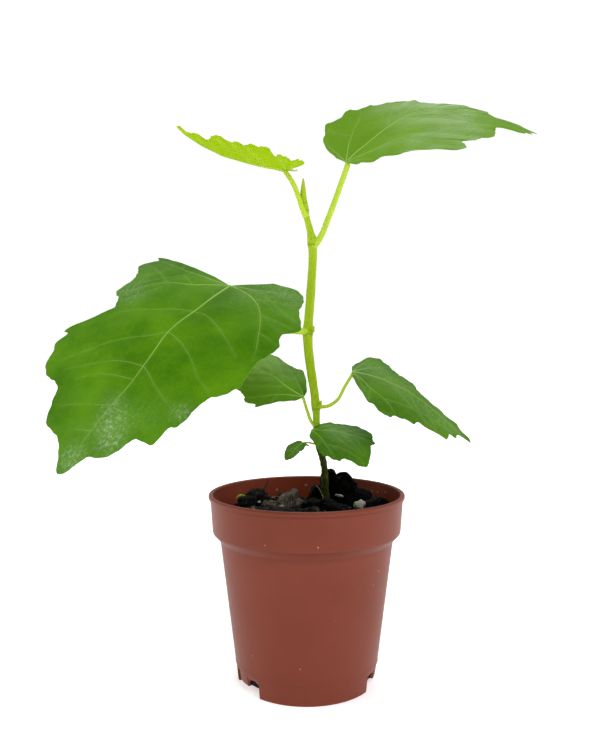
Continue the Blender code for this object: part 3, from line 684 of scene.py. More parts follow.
def stone_finish():
    """Pale grit: greyish white with darker pits."""
    made = Finish("grit_pale", Specular_IOR_Level=0.4)
    where = made.place()
    grain = made.noise(where, 0.7, 4.0, 0.6)
    pits = made.cells(where, 1.1, feature="F1")
    tone = made.attribute("tone")
    colour = made.mix(grain.between(0.3, 0.7), rgb(128, 122, 116), rgb(206, 202, 196))
    colour = made.mix(pits.between(0.35, 0.15) * 0.4 + (1 - tone) * 0.4, colour, rgb(84, 78, 72))
    return made.finish(colour, 0.7 + grain * 0.2, grain, depth=0.3, strength=0.8)


def root_finish():
    """Fine roots: straw colour, darker in places. The twig is dark and the sprout green."""
    made = Finish("root_straw", Specular_IOR_Level=0.4)
    blotch = made.noise(made.place(), 2.2, 3.0)
    colour = made.mix(blotch.between(0.3, 0.7), rgb(190, 178, 160), rgb(120, 100, 82))
    colour = made.mix(made.attribute("dark"), colour, rgb(58, 26, 18))
    colour = made.mix(made.attribute("green"), colour, rgb(136, 158, 54))
    return made.finish(colour, 0.6 + blotch * 0.2, blotch, depth=0.1, strength=0.5)


def stem_finish():
    """Stem skin: green with fine lengthwise streaks and pale dots above, olive-brown bark below. The two
    meet in ragged patches over one to two centimetres."""
    made = Finish("stem_skin", Specular_IOR_Level=0.12)
    where = made.place()
    along = made.attribute("flat", "Vector")
    height = made.field("ShaderNodeSeparateXYZ", "Z", None, where)
    ragged = made.noise(where, 3.2, 4.0)
    streak = made.noise(along, 1.0, 3.0, 0.6)
    dots = made.cells(along, 1.5, feature="F1")
    node = made.attribute("node")
    fresh = made.mix(height.between(150.0, 215.0), rgb(134, 164, 4), rgb(168, 196, 44))
    green = made.mix(streak.between(0.35, 0.65) * 0.8, fresh, rgb(158, 186, 20))
    brown = made.mix(streak.between(0.35, 0.65), rgb(50, 60, 12), rgb(84, 94, 28))
    woody = (height + (ragged - 0.5) * 16).between(116.0, 104.0)
    colour = made.mix(woody, green, brown)
    colour = made.mix(dots.between(0.20, 0.10) * 0.25, colour, rgb(196, 205, 120))
    colour = made.mix(node, colour, rgb(104, 118, 22))
    relief = streak * 0.6 + dots.between(0.3, 0.1) * 0.5
    return made.finish(colour, 0.42 + woody * 0.25, relief, depth=0.12, strength=0.7)


# ---- Pot

def wall_outline():
    """The wall's closed section as (radius, height): up the inside from the foot ring, over the lip, down
    the outside and round the foot. Lip and steps have small rounds."""
    lip_z = POT_HEIGHT - LIP_HEIGHT
    slope = (WALL_TOP_RADIUS - FOOT_RADIUS) / WALL_TOP_Z
    ring = FOOT_RADIUS - FOOT_WALL
    inner = [(ring, 0.25), (ring - 0.1, 1.2), (ring - 0.2, 2.4), (ring - 0.3, FLOOR_Z)]
    inner += [(FOOT_RADIUS + slope * z - WALL, z)
              for z in (5.0, 6.4, 7.8, *np.linspace(9, WALL_TOP_Z - 1, 10))]
    inner += [(WALL_TOP_RADIUS - WALL, WALL_TOP_Z + 1.2), (BAND_LOW_RADIUS - WALL - 0.5, BAND_LOW_Z + 0.6),
              (BAND_LOW_RADIUS - WALL, BAND_LOW_Z + 1.4)]
    band = np.linspace(BAND_LOW_Z + 3, lip_z - 0.6, 8)
    wide = (BAND_TOP_RADIUS - BAND_LOW_RADIUS) / (lip_z - BAND_LOW_Z)
    inner += [(BAND_LOW_RADIUS - WALL + wide * (z - BAND_LOW_Z), z) for z in band]
    turn = np.linspace(math.pi, 0, 13)
    middle = (RIM_RADIUS + BAND_TOP_RADIUS - WALL) / 2
    half = RIM_RADIUS - middle
    bead = [(middle + half * math.cos(t), POT_HEIGHT - 0.75 + 0.75 * math.sin(t)) for t in turn]
    bead += [(RIM_RADIUS, lip_z + 0.55), (RIM_RADIUS - 0.12, lip_z + 0.22), (RIM_RADIUS - 0.4, lip_z + 0.04)]
    outer = [(BAND_TOP_RADIUS + 0.05, lip_z), (BAND_TOP_RADIUS, lip_z - 0.25)]
    outer += [(BAND_LOW_RADIUS + wide * (z - BAND_LOW_Z), z)
              for z in np.linspace(lip_z - 1.2, BAND_LOW_Z + 1, 9)]
    outer += [(BAND_LOW_RADIUS, BAND_LOW_Z + 0.5), (BAND_LOW_RADIUS - 0.18, BAND_LOW_Z + 0.05),
              (BAND_LOW_RADIUS - 0.6, BAND_LOW_Z - 0.4), (BAND_LOW_RADIUS - 1.3, BAND_LOW_Z - 1.1),
              (WALL_TOP_RADIUS + 0.9, WALL_TOP_Z + 1.1), (WALL_TOP_RADIUS + 0.25, WALL_TOP_Z + 0.35),
              (WALL_TOP_RADIUS, WALL_TOP_Z - 0.3)]
    low = (WALL_TOP_RADIUS - FOOT_LINE_RADIUS) / (WALL_TOP_Z - FOOT_LINE_Z)
    outer += [(FOOT_LINE_RADIUS + low * (z - FOOT_LINE_Z), z)
              for z in np.linspace(WALL_TOP_Z - 2, FOOT_LINE_Z + 1, 22)]
    outer += [(FOOT_LINE_RADIUS + 0.18, FOOT_LINE_Z + 0.3), (FOOT_LINE_RADIUS + 0.06, FOOT_LINE_Z),
              (FOOT_LINE_RADIUS - 0.22, FOOT_LINE_Z - 0.12), (FOOT_LINE_RADIUS - 0.27, FOOT_LINE_Z - 0.5)]
    outer += [(FOOT_RADIUS + 0.105 * (z - FOOT_ROUNDING), z)
              for z in (7.6, 6.6, 5.6, 4.6, 3.6, 2.4, 1.4, FOOT_ROUNDING)]
    r = FOOT_ROUNDING
    outer += [(FOOT_RADIUS - r + r * math.cos(t), r - r * math.sin(t)) for t in (0.5, 1.0, math.pi / 2)]
    outer += [(ring + 0.25, 0.0)]
    return np.array(inner), np.array([*bead, *outer])


def floor_outline():
    """The floor's section, from the middle of its top out to its edge in the wall and back below."""
    top, low, well = FLOOR_Z + FLOOR, FLOOR_Z, CENTRE_RADIUS - WALL
    edge = FOOT_RADIUS - WALL + 0.8
    return np.array([
        (0.4, FLOOR), (7.0, FLOOR), (well - 0.3, FLOOR), (well, FLOOR + 0.3), (well + 0.3, top), (21.0, top),
        (26.5, top), (29.0, top), (edge, top), (edge, low), (29.0, low), (26.5, low), (21.0, low),
        (CENTRE_RADIUS + 0.3, low), (CENTRE_RADIUS, 0.3), (CENTRE_RADIUS - 0.3, 0.0), (7.0, 0.0), (0.4, 0.0),
    ])


def notch_rise(turns):
    """How far the wall's foot is cut up at each angle from the front: an arch over each drain opening,
    and a low step between the two openings of a pair."""
    rise = np.zeros_like(turns)
    half = NOTCH_WIDTH / 2
    spring = NOTCH_HEIGHT - NOTCH_ARCH
    for pair in NOTCH_PAIRS_AT:
        off = (turns - math.radians(pair) + math.pi) % (2 * math.pi) - math.pi
        rise = np.where(np.abs(off) < math.radians(NOTCH_PAIR_SPREAD / 2), NOTCH_PAIR_HEIGHT, rise)
        for side in (-0.5, 0.5):
            x = (off - math.radians(side * NOTCH_PAIR_SPREAD)) * FOOT_RADIUS / half
            arch = spring + NOTCH_ARCH * np.sqrt(np.clip(1 - x * x, 0, 1))
            rise = np.where(np.abs(x) < 1, arch, rise)
    return rise


def make_pot(material):
    """The wall's closed section turned about Z, its lowest heights closed up towards the drain openings'
    arches, and the floor's section turned inside it, its edge drawn in at each opening. Each side of an
    opening has a pair of close columns, so that it stands upright."""
    turns = round_turns(288)
    edge = NOTCH_WIDTH / 2 / FOOT_RADIUS
    beside = 4e-4
    for pair in NOTCH_PAIRS_AT:
        for side in (-0.5, 0.5):
            middle = math.radians(pair + side * NOTCH_PAIR_SPREAD)
            for end in (middle - edge, middle + edge):
                turns = np.concatenate([turns, np.array([end - beside, end + beside]) % (2 * math.pi)])
    turns = np.unique(np.round(turns, 7))
    rise = notch_rise(turns)[None, :]
    columns = len(turns)

    def spun(radius, height):
        height = np.broadcast_to(height, (len(height), columns))
        return np.stack([radius * np.sin(turns), -radius * np.cos(turns), height], -1)

    inner, outer = wall_outline()
    section = np.concatenate([inner, outer])
    height = section[:, 1:]
    closing = FOOT_LINE_Z - 0.7
    height = np.where(height < closing, rise + height * (closing - rise) / closing, height)
    rows = len(section)
    faces = grid_faces(rows, columns, wrap=True, flip=True)
    last = (rows - 1) * columns + np.arange(columns)
    seam = np.stack([np.arange(columns), np.roll(np.arange(columns), -1), np.roll(last, -1), last], -1)
    inside = np.repeat(np.arange(rows) < len(inner), columns)
    far, high = section.T
    step = smooth(WALL_TOP_Z + 2.2, WALL_TOP_Z + 3.1, high) * smooth(BAND_LOW_Z + 0.5, BAND_LOW_Z, high)
    step += 0.5 * smooth(WALL_TOP_Z - 1.5, WALL_TOP_Z, high) * smooth(BAND_LOW_Z - 0.1, BAND_LOW_Z - 0.8, high)
    below_lip = (far < RIM_RADIUS - 0.1) & (far > BAND_TOP_RADIUS - 0.2)
    overhang = np.exp(-((high - (POT_HEIGHT - LIP_HEIGHT)) / 0.5) ** 2) * below_lip
    shade = np.where(np.arange(rows) > len(inner), step + 0.6 * overhang, 0.0)
    shape = Shape()
    shape.add(spun(section[:, :1], height), [faces, seam], inside=inside, shade=np.repeat(shade, columns))

    section = floor_outline()
    drawn_in = np.where(rise > NOTCH_PAIR_HEIGHT, FOOT_RADIUS - NOTCH_DEPTH, FOOT_RADIUS)
    grid = spun(np.minimum(section[:, :1], drawn_in), section[:, 1:])
    top_rows = 9
    top = np.repeat(np.arange(len(section)) < top_rows, columns)
    shape.add(*closed_tube(grid, [[0, 0, FLOOR], [0, 0, 0]], flip=True), inside=np.concatenate([top, [1, 0]]))
    add_drops(shape)
    shape.piece("pot_shell", ["pot"], material, sharp=35)


# Each drop's angle from the front in degrees, its height, its radius and how far out its wall lies
INNER_RIM = BAND_LOW_RADIUS - WALL
DROPS = (
    (201.0, 79.8, 0.85, INNER_RIM), (180.5, 81.6, 0.95, INNER_RIM), (130.4, 81.4, 0.8, INNER_RIM),
    (124.6, 81.6, 0.7, INNER_RIM), (116.5, 82.4, 0.85, INNER_RIM), (231.0, 82.0, 0.5, INNER_RIM),
    (168.0, 80.6, 0.5, INNER_RIM), (6.2, 71.8, 0.4, BAND_LOW_RADIUS),
)


def add_drops(shape):
    """Water drops on the inside of the rim and a pale speck outside: balls flattened towards the wall and
    half sunk into it."""
    ball, faces = chip_form(5, 10, 1.0)
    for turn, z, size, radius in DROPS:
        radius += 0.07 * (z - BAND_LOW_Z)
        outward = np.array([math.sin(math.radians(turn)), -math.cos(math.radians(turn)), 0.0])
        grown = ball * size
        grown -= 0.5 * (grown @ outward)[:, None] * outward
        shape.add(grown + radius * outward + (0, 0, z), faces,
                  drop=1.0 if radius > BAND_LOW_RADIUS else 0.55)


# ---- Compost

def soil_height(x, y):
    """The compost's top surface: a low crown with lumps, as in the CAD."""
    far = np.hypot(x, y) / RIM_RADIUS
    lumps = np.sin(0.31 * x + 1.1) * np.cos(0.27 * y - 0.4) + 0.6 * np.sin(0.55 * x - 0.48 * y)
    return SOIL_EDGE_Z + SOIL_CROWN * (1 - far * far) + SOIL_ROUGHNESS * lumps


def make_compost(material):
    """A disc-shaped grid of the height rule with crumbs of noise, closed below by the pot's taper. It
    sinks a little into each drain opening."""
    turns = round_turns(150)
    shares = np.linspace(0.02, 1, 60)
    edge = INNER_RIM - 0.1
    x = edge * shares[:, None] * np.cos(turns)
    y = edge * shares[:, None] * np.sin(turns)
    flat = np.stack([x, y], -1)
    z = soil_height(x, y) - 0.8 + 0.5 * ripple(flat, 5.0, 3) + 0.35 * ripple(flat, 2.0, 4)
    top = np.stack([x, y, z], -1)
    slope = (WALL_TOP_RADIUS - FOOT_RADIUS) / WALL_TOP_Z
    floor = FLOOR_Z + FLOOR + 0.3
    below = [(edge, 72.0), (INNER_RIM - 0.3, 70.5), (WALL_TOP_RADIUS - WALL - 0.3, 66.0),
             (FOOT_RADIUS + slope * 30 - WALL - 0.3, 30.0), (FOOT_RADIUS - WALL + 0.4, 9.0),
             (FOOT_RADIUS - WALL, floor), (FOOT_RADIUS - NOTCH_DEPTH - 0.3, floor), (CENTRE_RADIUS, floor)]
    over_openings = 5
    sides = np.array([[(r * math.cos(t), r * math.sin(t), h) for t in turns] for r, h in below])
    in_opening = notch_rise(turns + math.pi / 2) > NOTCH_PAIR_HEIGHT
    sides[over_openings, in_opening, 2] = FLOOR_Z + 0.3
    grid = np.concatenate([top, sides])
    shape = Shape()
    shape.add(*closed_tube(grid, [[0, 0, float(z[0].mean())], [0, 0, floor]], flip=True), tone=0.12)
    shape.piece("compost_bed", ["compost"], material)


def turning(axis, angles):
    """Rotation matrices about X, Y or Z, axis 0, 1 or 2, one to an angle in radians."""
    i, j = (axis + 1) % 3, (axis + 2) % 3
    made = np.zeros((len(angles), 3, 3))
    made[:, axis, axis] = 1
    made[:, i, i] = made[:, j, j] = np.cos(angles)
    made[:, j, i] = np.sin(angles)
    made[:, i, j] = -made[:, j, i]
    return made


def chip_form(rings, around, square):
    """A blocky pebble of unit size: a ball whose sines and cosines are raised to the power "square"."""
    def bent(value):
        return np.sign(value) * np.abs(value) ** square
    polar = np.linspace(-math.pi / 2, math.pi / 2, rings + 2)[1:-1, None]
    turns = round_turns(around)
    ball = np.stack([bent(np.cos(polar)) * bent(np.cos(turns)), bent(np.cos(polar)) * bent(np.sin(turns)),
                     bent(np.sin(polar)) * np.ones_like(turns)], -1)
    return closed_tube(ball, [[0, 0, -1], [0, 0, 1]])


# The larger bark pieces and the grit: middle, three half sizes, turn, lean and tone
BARK_HEAP = np.array([
    (12.6, 17.0, 83.2, 4.8, 4.0, 8.2, 8, -14, 0.01), (18.0, 17.6, 81.6, 6.2, 4.4, 7.2, -16, 20, 0.02),
    (25.0, 17.5, 78.6, 6.0, 4.6, 5.0, 12, 24, 0.03), (4.4, 19.0, 81.0, 3.0, 3.2, 4.6, 20, 6, 0.03),
    (34.0, 12.0, 77.6, 4.4, 3.4, 3.4, 30, 20, 0.05),
    (-23.6, 18.0, 80.2, 5.4, 3.6, 3.8, 6, 8, 0.12), (-28.5, 14.0, 78.4, 4.2, 3.2, 2.8, 40, -8, 0.05),
    (-8.2, 9.0, 79.4, 6.0, 4.2, 4.0, 14, -24, 0.62), (-17.4, 8.0, 78.6, 3.4, 3.0, 2.4, 30, 12, 0.5),
    (3.0, 4.5, 78.2, 5.4, 3.8, 3.6, 70, 10, 0.04), (13.4, 1.5, 78.0, 5.8, 4.2, 3.4, 20, 15, 0.05),
    (30.5, 10.0, 77.8, 4.6, 3.4, 3.2, 15, -18, 0.08), (-8.0, 25.0, 77.6, 5.6, 3.4, 2.6, -15, 8, 0.25),
    (-29.0, -2.0, 76.6, 5.0, 3.0, 2.2, 80, 6, 0.35), (14.0, -16.0, 77.0, 5.6, 3.2, 2.4, -8, -10, 0.2),
    (2.0, -25.0, 76.2, 5.0, 2.8, 2.0, 42, 8, 0.5), (-21.0, -20.0, 76.0, 4.6, 3.0, 2.0, -35, 10, 0.3),
    (28.0, -13.0, 76.6, 5.2, 2.6, 2.2, 65, -8, 0.4), (-10.0, -7.0, 77.4, 6.0, 3.2, 2.6, -24, 8, 0.15),
    (22.0, 28.0, 77.4, 4.4, 3.0, 2.6, 33, 10, 0.1), (8.0, 33.0, 76.8, 4.6, 2.8, 2.2, -28, -6, 0.3),
])
GRIT = np.array([
    (24.8, 5.0, 79.3, 2.9, 2.2, 2.0, 15, -20, 0.9), (15.2, 8.0, 83.2, 1.9, 1.2, 0.6, 10, 10, 0.7),
    (17.6, 6.5, 78.0, 1.0, 0.8, 0.7, 0, 0, 0.6), (-11.5, 3.0, 79.2, 0.8, 0.7, 0.5, 30, 0, 0.8),
    (-22.6, 11.0, 79.6, 0.7, 0.6, 0.5, 0, 0, 0.9), (-20.4, 10.0, 79.0, 0.6, 0.5, 0.4, 0, 0, 0.8),
    (19.5, 4.5, 77.8, 0.8, 0.8, 0.6, 50, 0, 0.6), (6.0, 31.0, 77.2, 1.3, 1.0, 0.8, 20, 0, 0.8),
    (-4.0, -26.0, 76.4, 1.6, 1.2, 1.0, 70, 0, 0.9), (-31.0, 20.0, 76.6, 1.2, 1.0, 0.8, 10, 0, 0.7),
    (33.0, -10.0, 76.6, 1.1, 0.9, 0.7, 44, 0, 0.8), (-16.0, 28.0, 76.8, 0.9, 0.8, 0.6, 5, 0, 0.9),
])


def scatter(shape, form, places, sizes, matrices, tones, seed, dent):
    """Copies of a form: each is stretched by its sizes, dented by noise, turned and put in its place. A
    form of more points than FINE_FORM_POINTS has finer dents too."""
    points, faces = form
    count = len(places)
    draw = np.random.default_rng(seed)
    shifted = points[None] * 1.3 + draw.uniform(-60, 60, (count, 1, 3))
    bumps = 1 + dent * ripple(shifted, 1.6, seed + 1)
    if len(points) > FINE_FORM_POINTS:
        bumps += 0.25 * dent * ripple(shifted, 0.42, seed + 2)
    grown = points[None] * bumps[..., None] * sizes[:, None, :]
    placed = np.einsum("nij,npj->npi", matrices, grown) + places[:, None]
    moved = [(f[None] + np.arange(count)[:, None, None] * len(points)).reshape(-1, f.shape[1]) for f in faces]
    shape.add(placed, moved, tone=np.repeat(tones, len(points)))


def scatter_listed(shape, form, table, seed, dent):
    """The pieces of a table, each leaning about Y and then turned about Z by its angles in degrees."""
    matrices = turning(2, np.radians(table[:, 6])) @ turning(1, np.radians(table[:, 7]))
    scatter(shape, form, table[:, :3], table[:, 3:6], matrices, table[:, 8], seed, dent)


def make_chips(material):
    """Bark chips strewn over the compost by a golden-angle spiral with jitter, most of them small and
    flat, a few large ones heaped at the stem, and one curled strip of bark."""
    draw = np.random.default_rng(SEED)
    shape = Shape()
    index = np.arange(CHIP_COUNT)
    radius = CHIP_REACH * np.sqrt((index + 0.5) / CHIP_COUNT) + draw.normal(0, 0.8, CHIP_COUNT)
    turn = GOLDEN_ANGLE * index + draw.normal(0, 0.05, CHIP_COUNT)
    radius = np.clip(radius, 0, CHIP_REACH)
    x, y = radius * np.cos(turn), radius * np.sin(turn)
    length = np.clip(draw.lognormal(0.35, 0.5, CHIP_COUNT), 0.6, 3.6)
    length = np.minimum(length, CHIP_REACH + 2.0 - radius)
    shares = [np.ones(CHIP_COUNT), draw.uniform(0.4, 0.8, CHIP_COUNT), draw.uniform(0.22, 0.5, CHIP_COUNT)]
    z = soil_height(x, y) - 0.3 + draw.uniform(-0.4, 0.9, CHIP_COUNT)
    about_x, about_y = draw.uniform(-0.6, 0.6, CHIP_COUNT), draw.uniform(-0.6, 0.6, CHIP_COUNT)
    about_z = draw.uniform(0, 2 * math.pi, CHIP_COUNT)
    matrices = turning(2, about_z) @ turning(1, about_y) @ turning(0, about_x)
    tones = draw.uniform(0, 1, CHIP_COUNT) ** 5 * 0.7
    scatter(shape, chip_form(4, 8, 0.5), np.stack([x, y, z], -1), length[:, None] * np.stack(shares, -1),
            matrices, tones, seed=31, dent=0.22)
    scatter_listed(shape, chip_form(22, 30, 0.6), BARK_HEAP, seed=57, dent=0.2)
    curl = path_through(((13.5, 16.6, 88.5), (15.4, 16.2, 91.6), (18.0, 15.9, 92.4), (20.4, 16.0, 91.0),
                         (21.7, 16.4, 87.2), (22.6, 17.0, 82.0)), 40)
    limb(shape, curl, 0.95 + 0.12 * np.sin(np.arange(40) * 0.9), 12, (0, 1, 0), tone=0.05)
    shape.piece("bark_chips", ["compost"], material, sharp=42)


def make_stones(material):
    """Pale grit: one larger white stone by the stem, small ones and a flake around it."""
    shape = Shape()
    scatter_listed(shape, chip_form(12, 18, 0.8), GRIT, seed=71, dent=0.16)
    shape.piece("pale_grit", ["compost"], material, sharp=60)


def make_roots(material):
    """Thin pale roots, a dark twig and a green sprout: limbs through a few knots each, lying over the bark
    and against the stem."""
    shape = Shape()
    aside = (0.1, 1, 0.2)
    strands = (
        (0.22, ((4.4, 5.2, 88.6), (5.6, 4.8, 87.4), (7.0, 4.4, 84.6), (8.4, 4.2, 80.4), (9.6, 3.6, 76.6))),
        (0.16, ((-20.0, 24.0, 78.0), (-15.0, 25.5, 79.4), (-10.0, 24.0, 78.6), (-6.0, 21.0, 78.2))),
        (0.15, ((6.0, -12.0, 78.6), (0.0, -14.0, 79.4), (-5.0, -18.0, 78.4), (-12.0, -19.0, 77.6))),
        (0.18, ((20.0, -6.0, 78.2), (25.0, -8.0, 79.2), (29.0, -4.0, 78.6), (33.0, -3.0, 77.6))),
        (0.14, ((-26.0, 4.0, 78.2), (-24.0, -2.0, 79.0), (-26.0, -8.0, 78.2), (-30.0, -12.0, 77.2))),
    )
    for radius, knots in strands:
        path = path_through(knots, 48)
        radii = radius * (1 - 0.5 * np.linspace(0, 1, 48)) * (1 + 0.15 * np.sin(np.arange(48) * 1.7))
        limb(shape, path, radii, 10, aside)
    twig = path_through(((-19.6, 35.0, 85.2), (-20.6, 34.4, 83.6), (-21.6, 33.4, 81.4),
                         (-23.0, 31.0, 78.0)), 24)
    limb(shape, twig, 0.34 - 0.1 * np.linspace(0, 1, 24), 10, aside, dark=1.0)
    sprout = path_through(((-34.0, 15.2, 80.4), (-32.0, 15.8, 81.7), (-29.8, 16.2, 81.5)), 12)
    limb(shape, sprout, 0.7 * np.sin(np.linspace(0.3, 2.8, 12)), 10, aside, green=1.0)
    shape.piece("fine_roots", ["compost"], material)


# ---- Stem

# Rings on the stem: height, how far they stand out, their width and how dark they are
NODE_RINGS = (
    (92.0, 0.12, 0.7, 1.0), (109.0, 0.10, 0.6, 0.7), (114.0, 0.14, 0.6, 0.7), (124.4, 0.16, 0.5, 0.7),
    (159.3, 0.12, 0.5, 0.7), (200.4, 0.12, 0.45, 0.7), (215.8, 0.10, 0.4, 0.7), (219.4, -0.08, 0.3, 0.7),
)
# Buds and stipules: foot, tip and greatest radius
BUDS = (
    ((5.6, 5.4, 125.2), (6.9, 4.6, 128.6), 0.95), ((6.0, 6.6, 113.6), (9.6, 5.6, 117.0), 1.7),
    ((2.6, 3.4, 159.8), (3.4, 2.4, 163.2), 0.8), ((1.0, 3.0, 200.6), (1.6, 2.4, 206.4), 0.75),
    ((-1.9, 2.9, 214.6), (-2.5, 2.3, 218.6), 0.6), ((-1.7, 3.0, 219.2), (-1.9, 2.9, 229.4), 0.85),
)


def make_stem(material):
    """A limb along the stem's stations, its radius rising in a ring at each node, with fine ridges along
    it that fade towards its tip, and small buds."""
    stations = np.array(STEM_STATIONS)
    heights = np.linspace(stations[0, 0], stations[-1, 0], 620)
    centre = curve(stations[:, 0], stations[:, 1:3], heights, limited=False)
    path = np.column_stack([centre, heights])
    radius = curve(stations[:, 0], stations[:, 3], heights)
    turn, high = np.meshgrid(round_turns(44), heights)
    where = np.stack([np.cos(turn) * 2.0, np.sin(turn) * 2.0, 0.12 * high], -1)
    woody = smooth(118, 104, high)
    relief = 0.035 * ripple(where, 1.1, 11) + woody * 0.10 * ripple(where * (1, 1, 4), 1.0, 12)
    grid_radius = radius[:, None] * (1 + relief * smooth(230.6, 222, high))
    node = np.zeros_like(high)
    for z, out, wide, dark in NODE_RINGS:
        band = np.exp(-((high - z) / wide) ** 2) * (1 + 0.3 * np.sin(turn * 2 + z))
        grid_radius += out * band
        node += np.clip(band, 0, 1) * dark
    flat = np.stack([turn * 3.2, 0.35 * high, 0 * high], -1).reshape(-1, 3)
    shape = Shape()
    limb(shape, path, grid_radius, turn.shape[1], (1, 0, 0), flat=np.concatenate([flat, np.zeros((2, 3))]),
         node=np.concatenate([np.clip(node, 0, 1).ravel() * 0.75, [0, 0]]))
    add_buds(shape)
    shape.piece("stem_fine", ["stem"], material, sharp=70)


def add_buds(shape):
    """Each bud is a short limb that swells, bows a little forward and closes to a point."""
    share = np.linspace(0, 1, 22)[:, None]
    for foot, tip, widest in BUDS:
        path = foot + (np.array(tip) - foot) * share + np.array([0.0, -0.3, 0.0]) * np.sin(math.pi * share)
        radii = widest * np.sqrt(np.clip(share * 4, 0, 1)) * (1 - share ** 2.2) ** 0.8 + 0.02
        limb(shape, path, radii[:, 0], 16, (1, 0, 0))


# ---- Leaves

def leaf_axes(leaf):
    """The base point, length and unit axes of a blade: along the midrib, to its left, and up."""
    base = np.array(leaf["base"])
    along = np.array(leaf["tip"]) - base
    length = float(np.linalg.norm(along))
    along = along / length
    level = np.array([-along[1], along[0], 0.0])
    level /= np.linalg.norm(level)
    roll = math.radians(leaf["roll"])
    left = level * math.cos(roll) + np.cross(along, level) * math.sin(roll)
    return base, length, along, left, np.cross(along, left)


def reach_at(leaf, length, degrees):
    """The edge's reach at each angle, positive to the left, through the leaf's two tables and its tip."""
    right = [(-a, r) for a, r in reversed(leaf["right"])]
    table = np.array([*right, (0.0, length), *leaf["left"]])
    return curve(table[:, 0], table[:, 1], degrees)


def within(leaf, length, line):
    """The part of a line before it comes close to the blade's edge."""
    reach = reach_at(leaf, length, np.degrees(np.arctan2(line[:, 1], line[:, 0])))
    past = np.hypot(line[:, 0], line[:, 1]) > 0.95 * reach
    past[:1] &= len(line) == 1
    return line[:np.argmax(past)] if past.any() else line


def fork_places(leaf, length, mains, which, share, side):
    """A fork's places: it leaves its main at the fork angle, bends forward as it goes, and stops short of
    the edge or of another main."""
    main = mains[which]
    at = int(share * (len(main) - 1))
    ahead = main[min(at + 1, len(main) - 1)] - main[at - 1]
    heading = math.atan2(ahead[1], ahead[0])
    lean = side * math.radians(leaf["fork_angle"])
    others = [m for k, m in enumerate(mains) if k != which]
    place, walked = main[at], [main[at]]
    for i in range(60):
        angle = heading + lean * (1 - 0.012 * i)
        place = place + 0.012 * length * np.array([math.cos(angle), math.sin(angle)])
        if len(within(leaf, length, place[None])) == 0:
            break
        if i > 4 and others and np.min(np.hypot(*(np.concatenate(others) - place).T)) < 0.03 * length:
            break
        walked.append(place)
    return walked


def vein_lines(leaf, length):
    """Every modelled vein as (places, half-widths, paleness): the mains, the branches and the forks."""
    lines, mains = [], []

    def add(line, width, thinning, pale, fading=0.0, power=1.0):
        share = np.linspace(0, 1, len(line))
        lines.append((line, width * (1 - thinning * share ** power), pale - fading * share))

    for width, places in leaf["mains"]:
        mains.append(within(leaf, length, path_through(places, 60)))
        add(mains[-1], 0.85 * width, 0.8, 1.0, 0.5, power=0.7)
    for places in leaf["branches"]:
        add(within(leaf, length, path_through(places, 40)), 0.14, 0.6, 0.6, 0.35)
    for fork in leaf["forks"]:
        walked = fork_places(leaf, length, mains, *fork)
        if len(walked) > 4:
            add(path_through(walked, 24), 0.28 * leaf["mains"][0][0], 0.62, 0.3)
    return lines


def distance_to(lines, u, v):
    """The distance from each place to the nearest vein, over all the veins' short straight legs."""
    legs = [(line[i], line[min(i + 2, len(line) - 1)])
            for line, *_ in lines for i in range(0, len(line) - 1, 2)]
    nearest = np.full(u.shape, 1e3)
    for (a, b), (c, d) in legs:
        run = (c - a) ** 2 + (d - b) ** 2 + 1e-9
        t = np.clip(((u - a) * (c - a) + (v - b) * (d - b)) / run, 0, 1)
        nearest = np.minimum(nearest, np.hypot(u - a - t * (c - a), v - b - t * (d - b)))
    return nearest


def blade_height(leaf, length, u, v, near, out, arc):
    """The source's relief, with a sag, plus quilting that dips to the veins, soft unevenness and a wavy
    edge. "near" is the distance to the nearest vein, "out" the share of the way to the edge, and "arc" the
    distance along it."""
    t = u / length
    height = 4 * leaf["arch"] * t * (1 - t) + leaf["fold"] * np.abs(v) - leaf["droop"] * (2 * v / length) ** 2
    height = height - 6.75 * leaf["sag"] * t * t * (1 - t)
    flat = np.stack([u, v], -1)
    quilt = 0.5 - np.exp(-(near / (0.05 * length + 0.6)) ** 1.3)
    uneven = 0.3 * ripple(flat, 0.2 * length, 5) + 0.06 * ripple(flat, 0.06 * length, 6)
    wave = leaf["wave"] * out ** 9 * np.sin(2 * math.pi * arc / (0.14 * length) + 0.8 * np.sin(arc * 0.31))
    return height + leaf["quilt"] * (quilt + uneven) + wave


def blade_columns(leaf, length):
    """The angle from the midrib, the reach and the distance along the edge of each column of a blade. The
    columns are spread by that distance and in part by the angle, and fine teeth are added to the reach."""
    start, end = -leaf["right"][-1][0], leaf["left"][-1][0]
    dense = np.linspace(start, end, 3000)
    reach = reach_at(leaf, length, dense)
    edge = np.stack([reach * np.cos(np.radians(dense)), reach * np.sin(np.radians(dense))], -1)
    arc = np.concatenate([[0], np.cumsum(np.linalg.norm(np.diff(edge, axis=0), axis=1))])
    even = arc / arc[-1] + 0.35 * (dense - start) / (end - start)
    index = np.arange(len(dense))
    picked = np.interp(np.linspace(0, even[-1], leaf["columns"]), even, index)
    degrees = np.interp(picked, index, dense)
    arc = np.interp(picked, index, arc)
    reach = reach_at(leaf, length, degrees)
    phase = 2 * math.pi * arc / (0.047 * length) + 1.2 * np.sin(arc * 0.17 + leaf["seed"])
    reach = reach + leaf["teeth"] * length * np.sin(phase) * smooth(0, 0.25 * length, reach)
    return np.radians(degrees), reach, arc


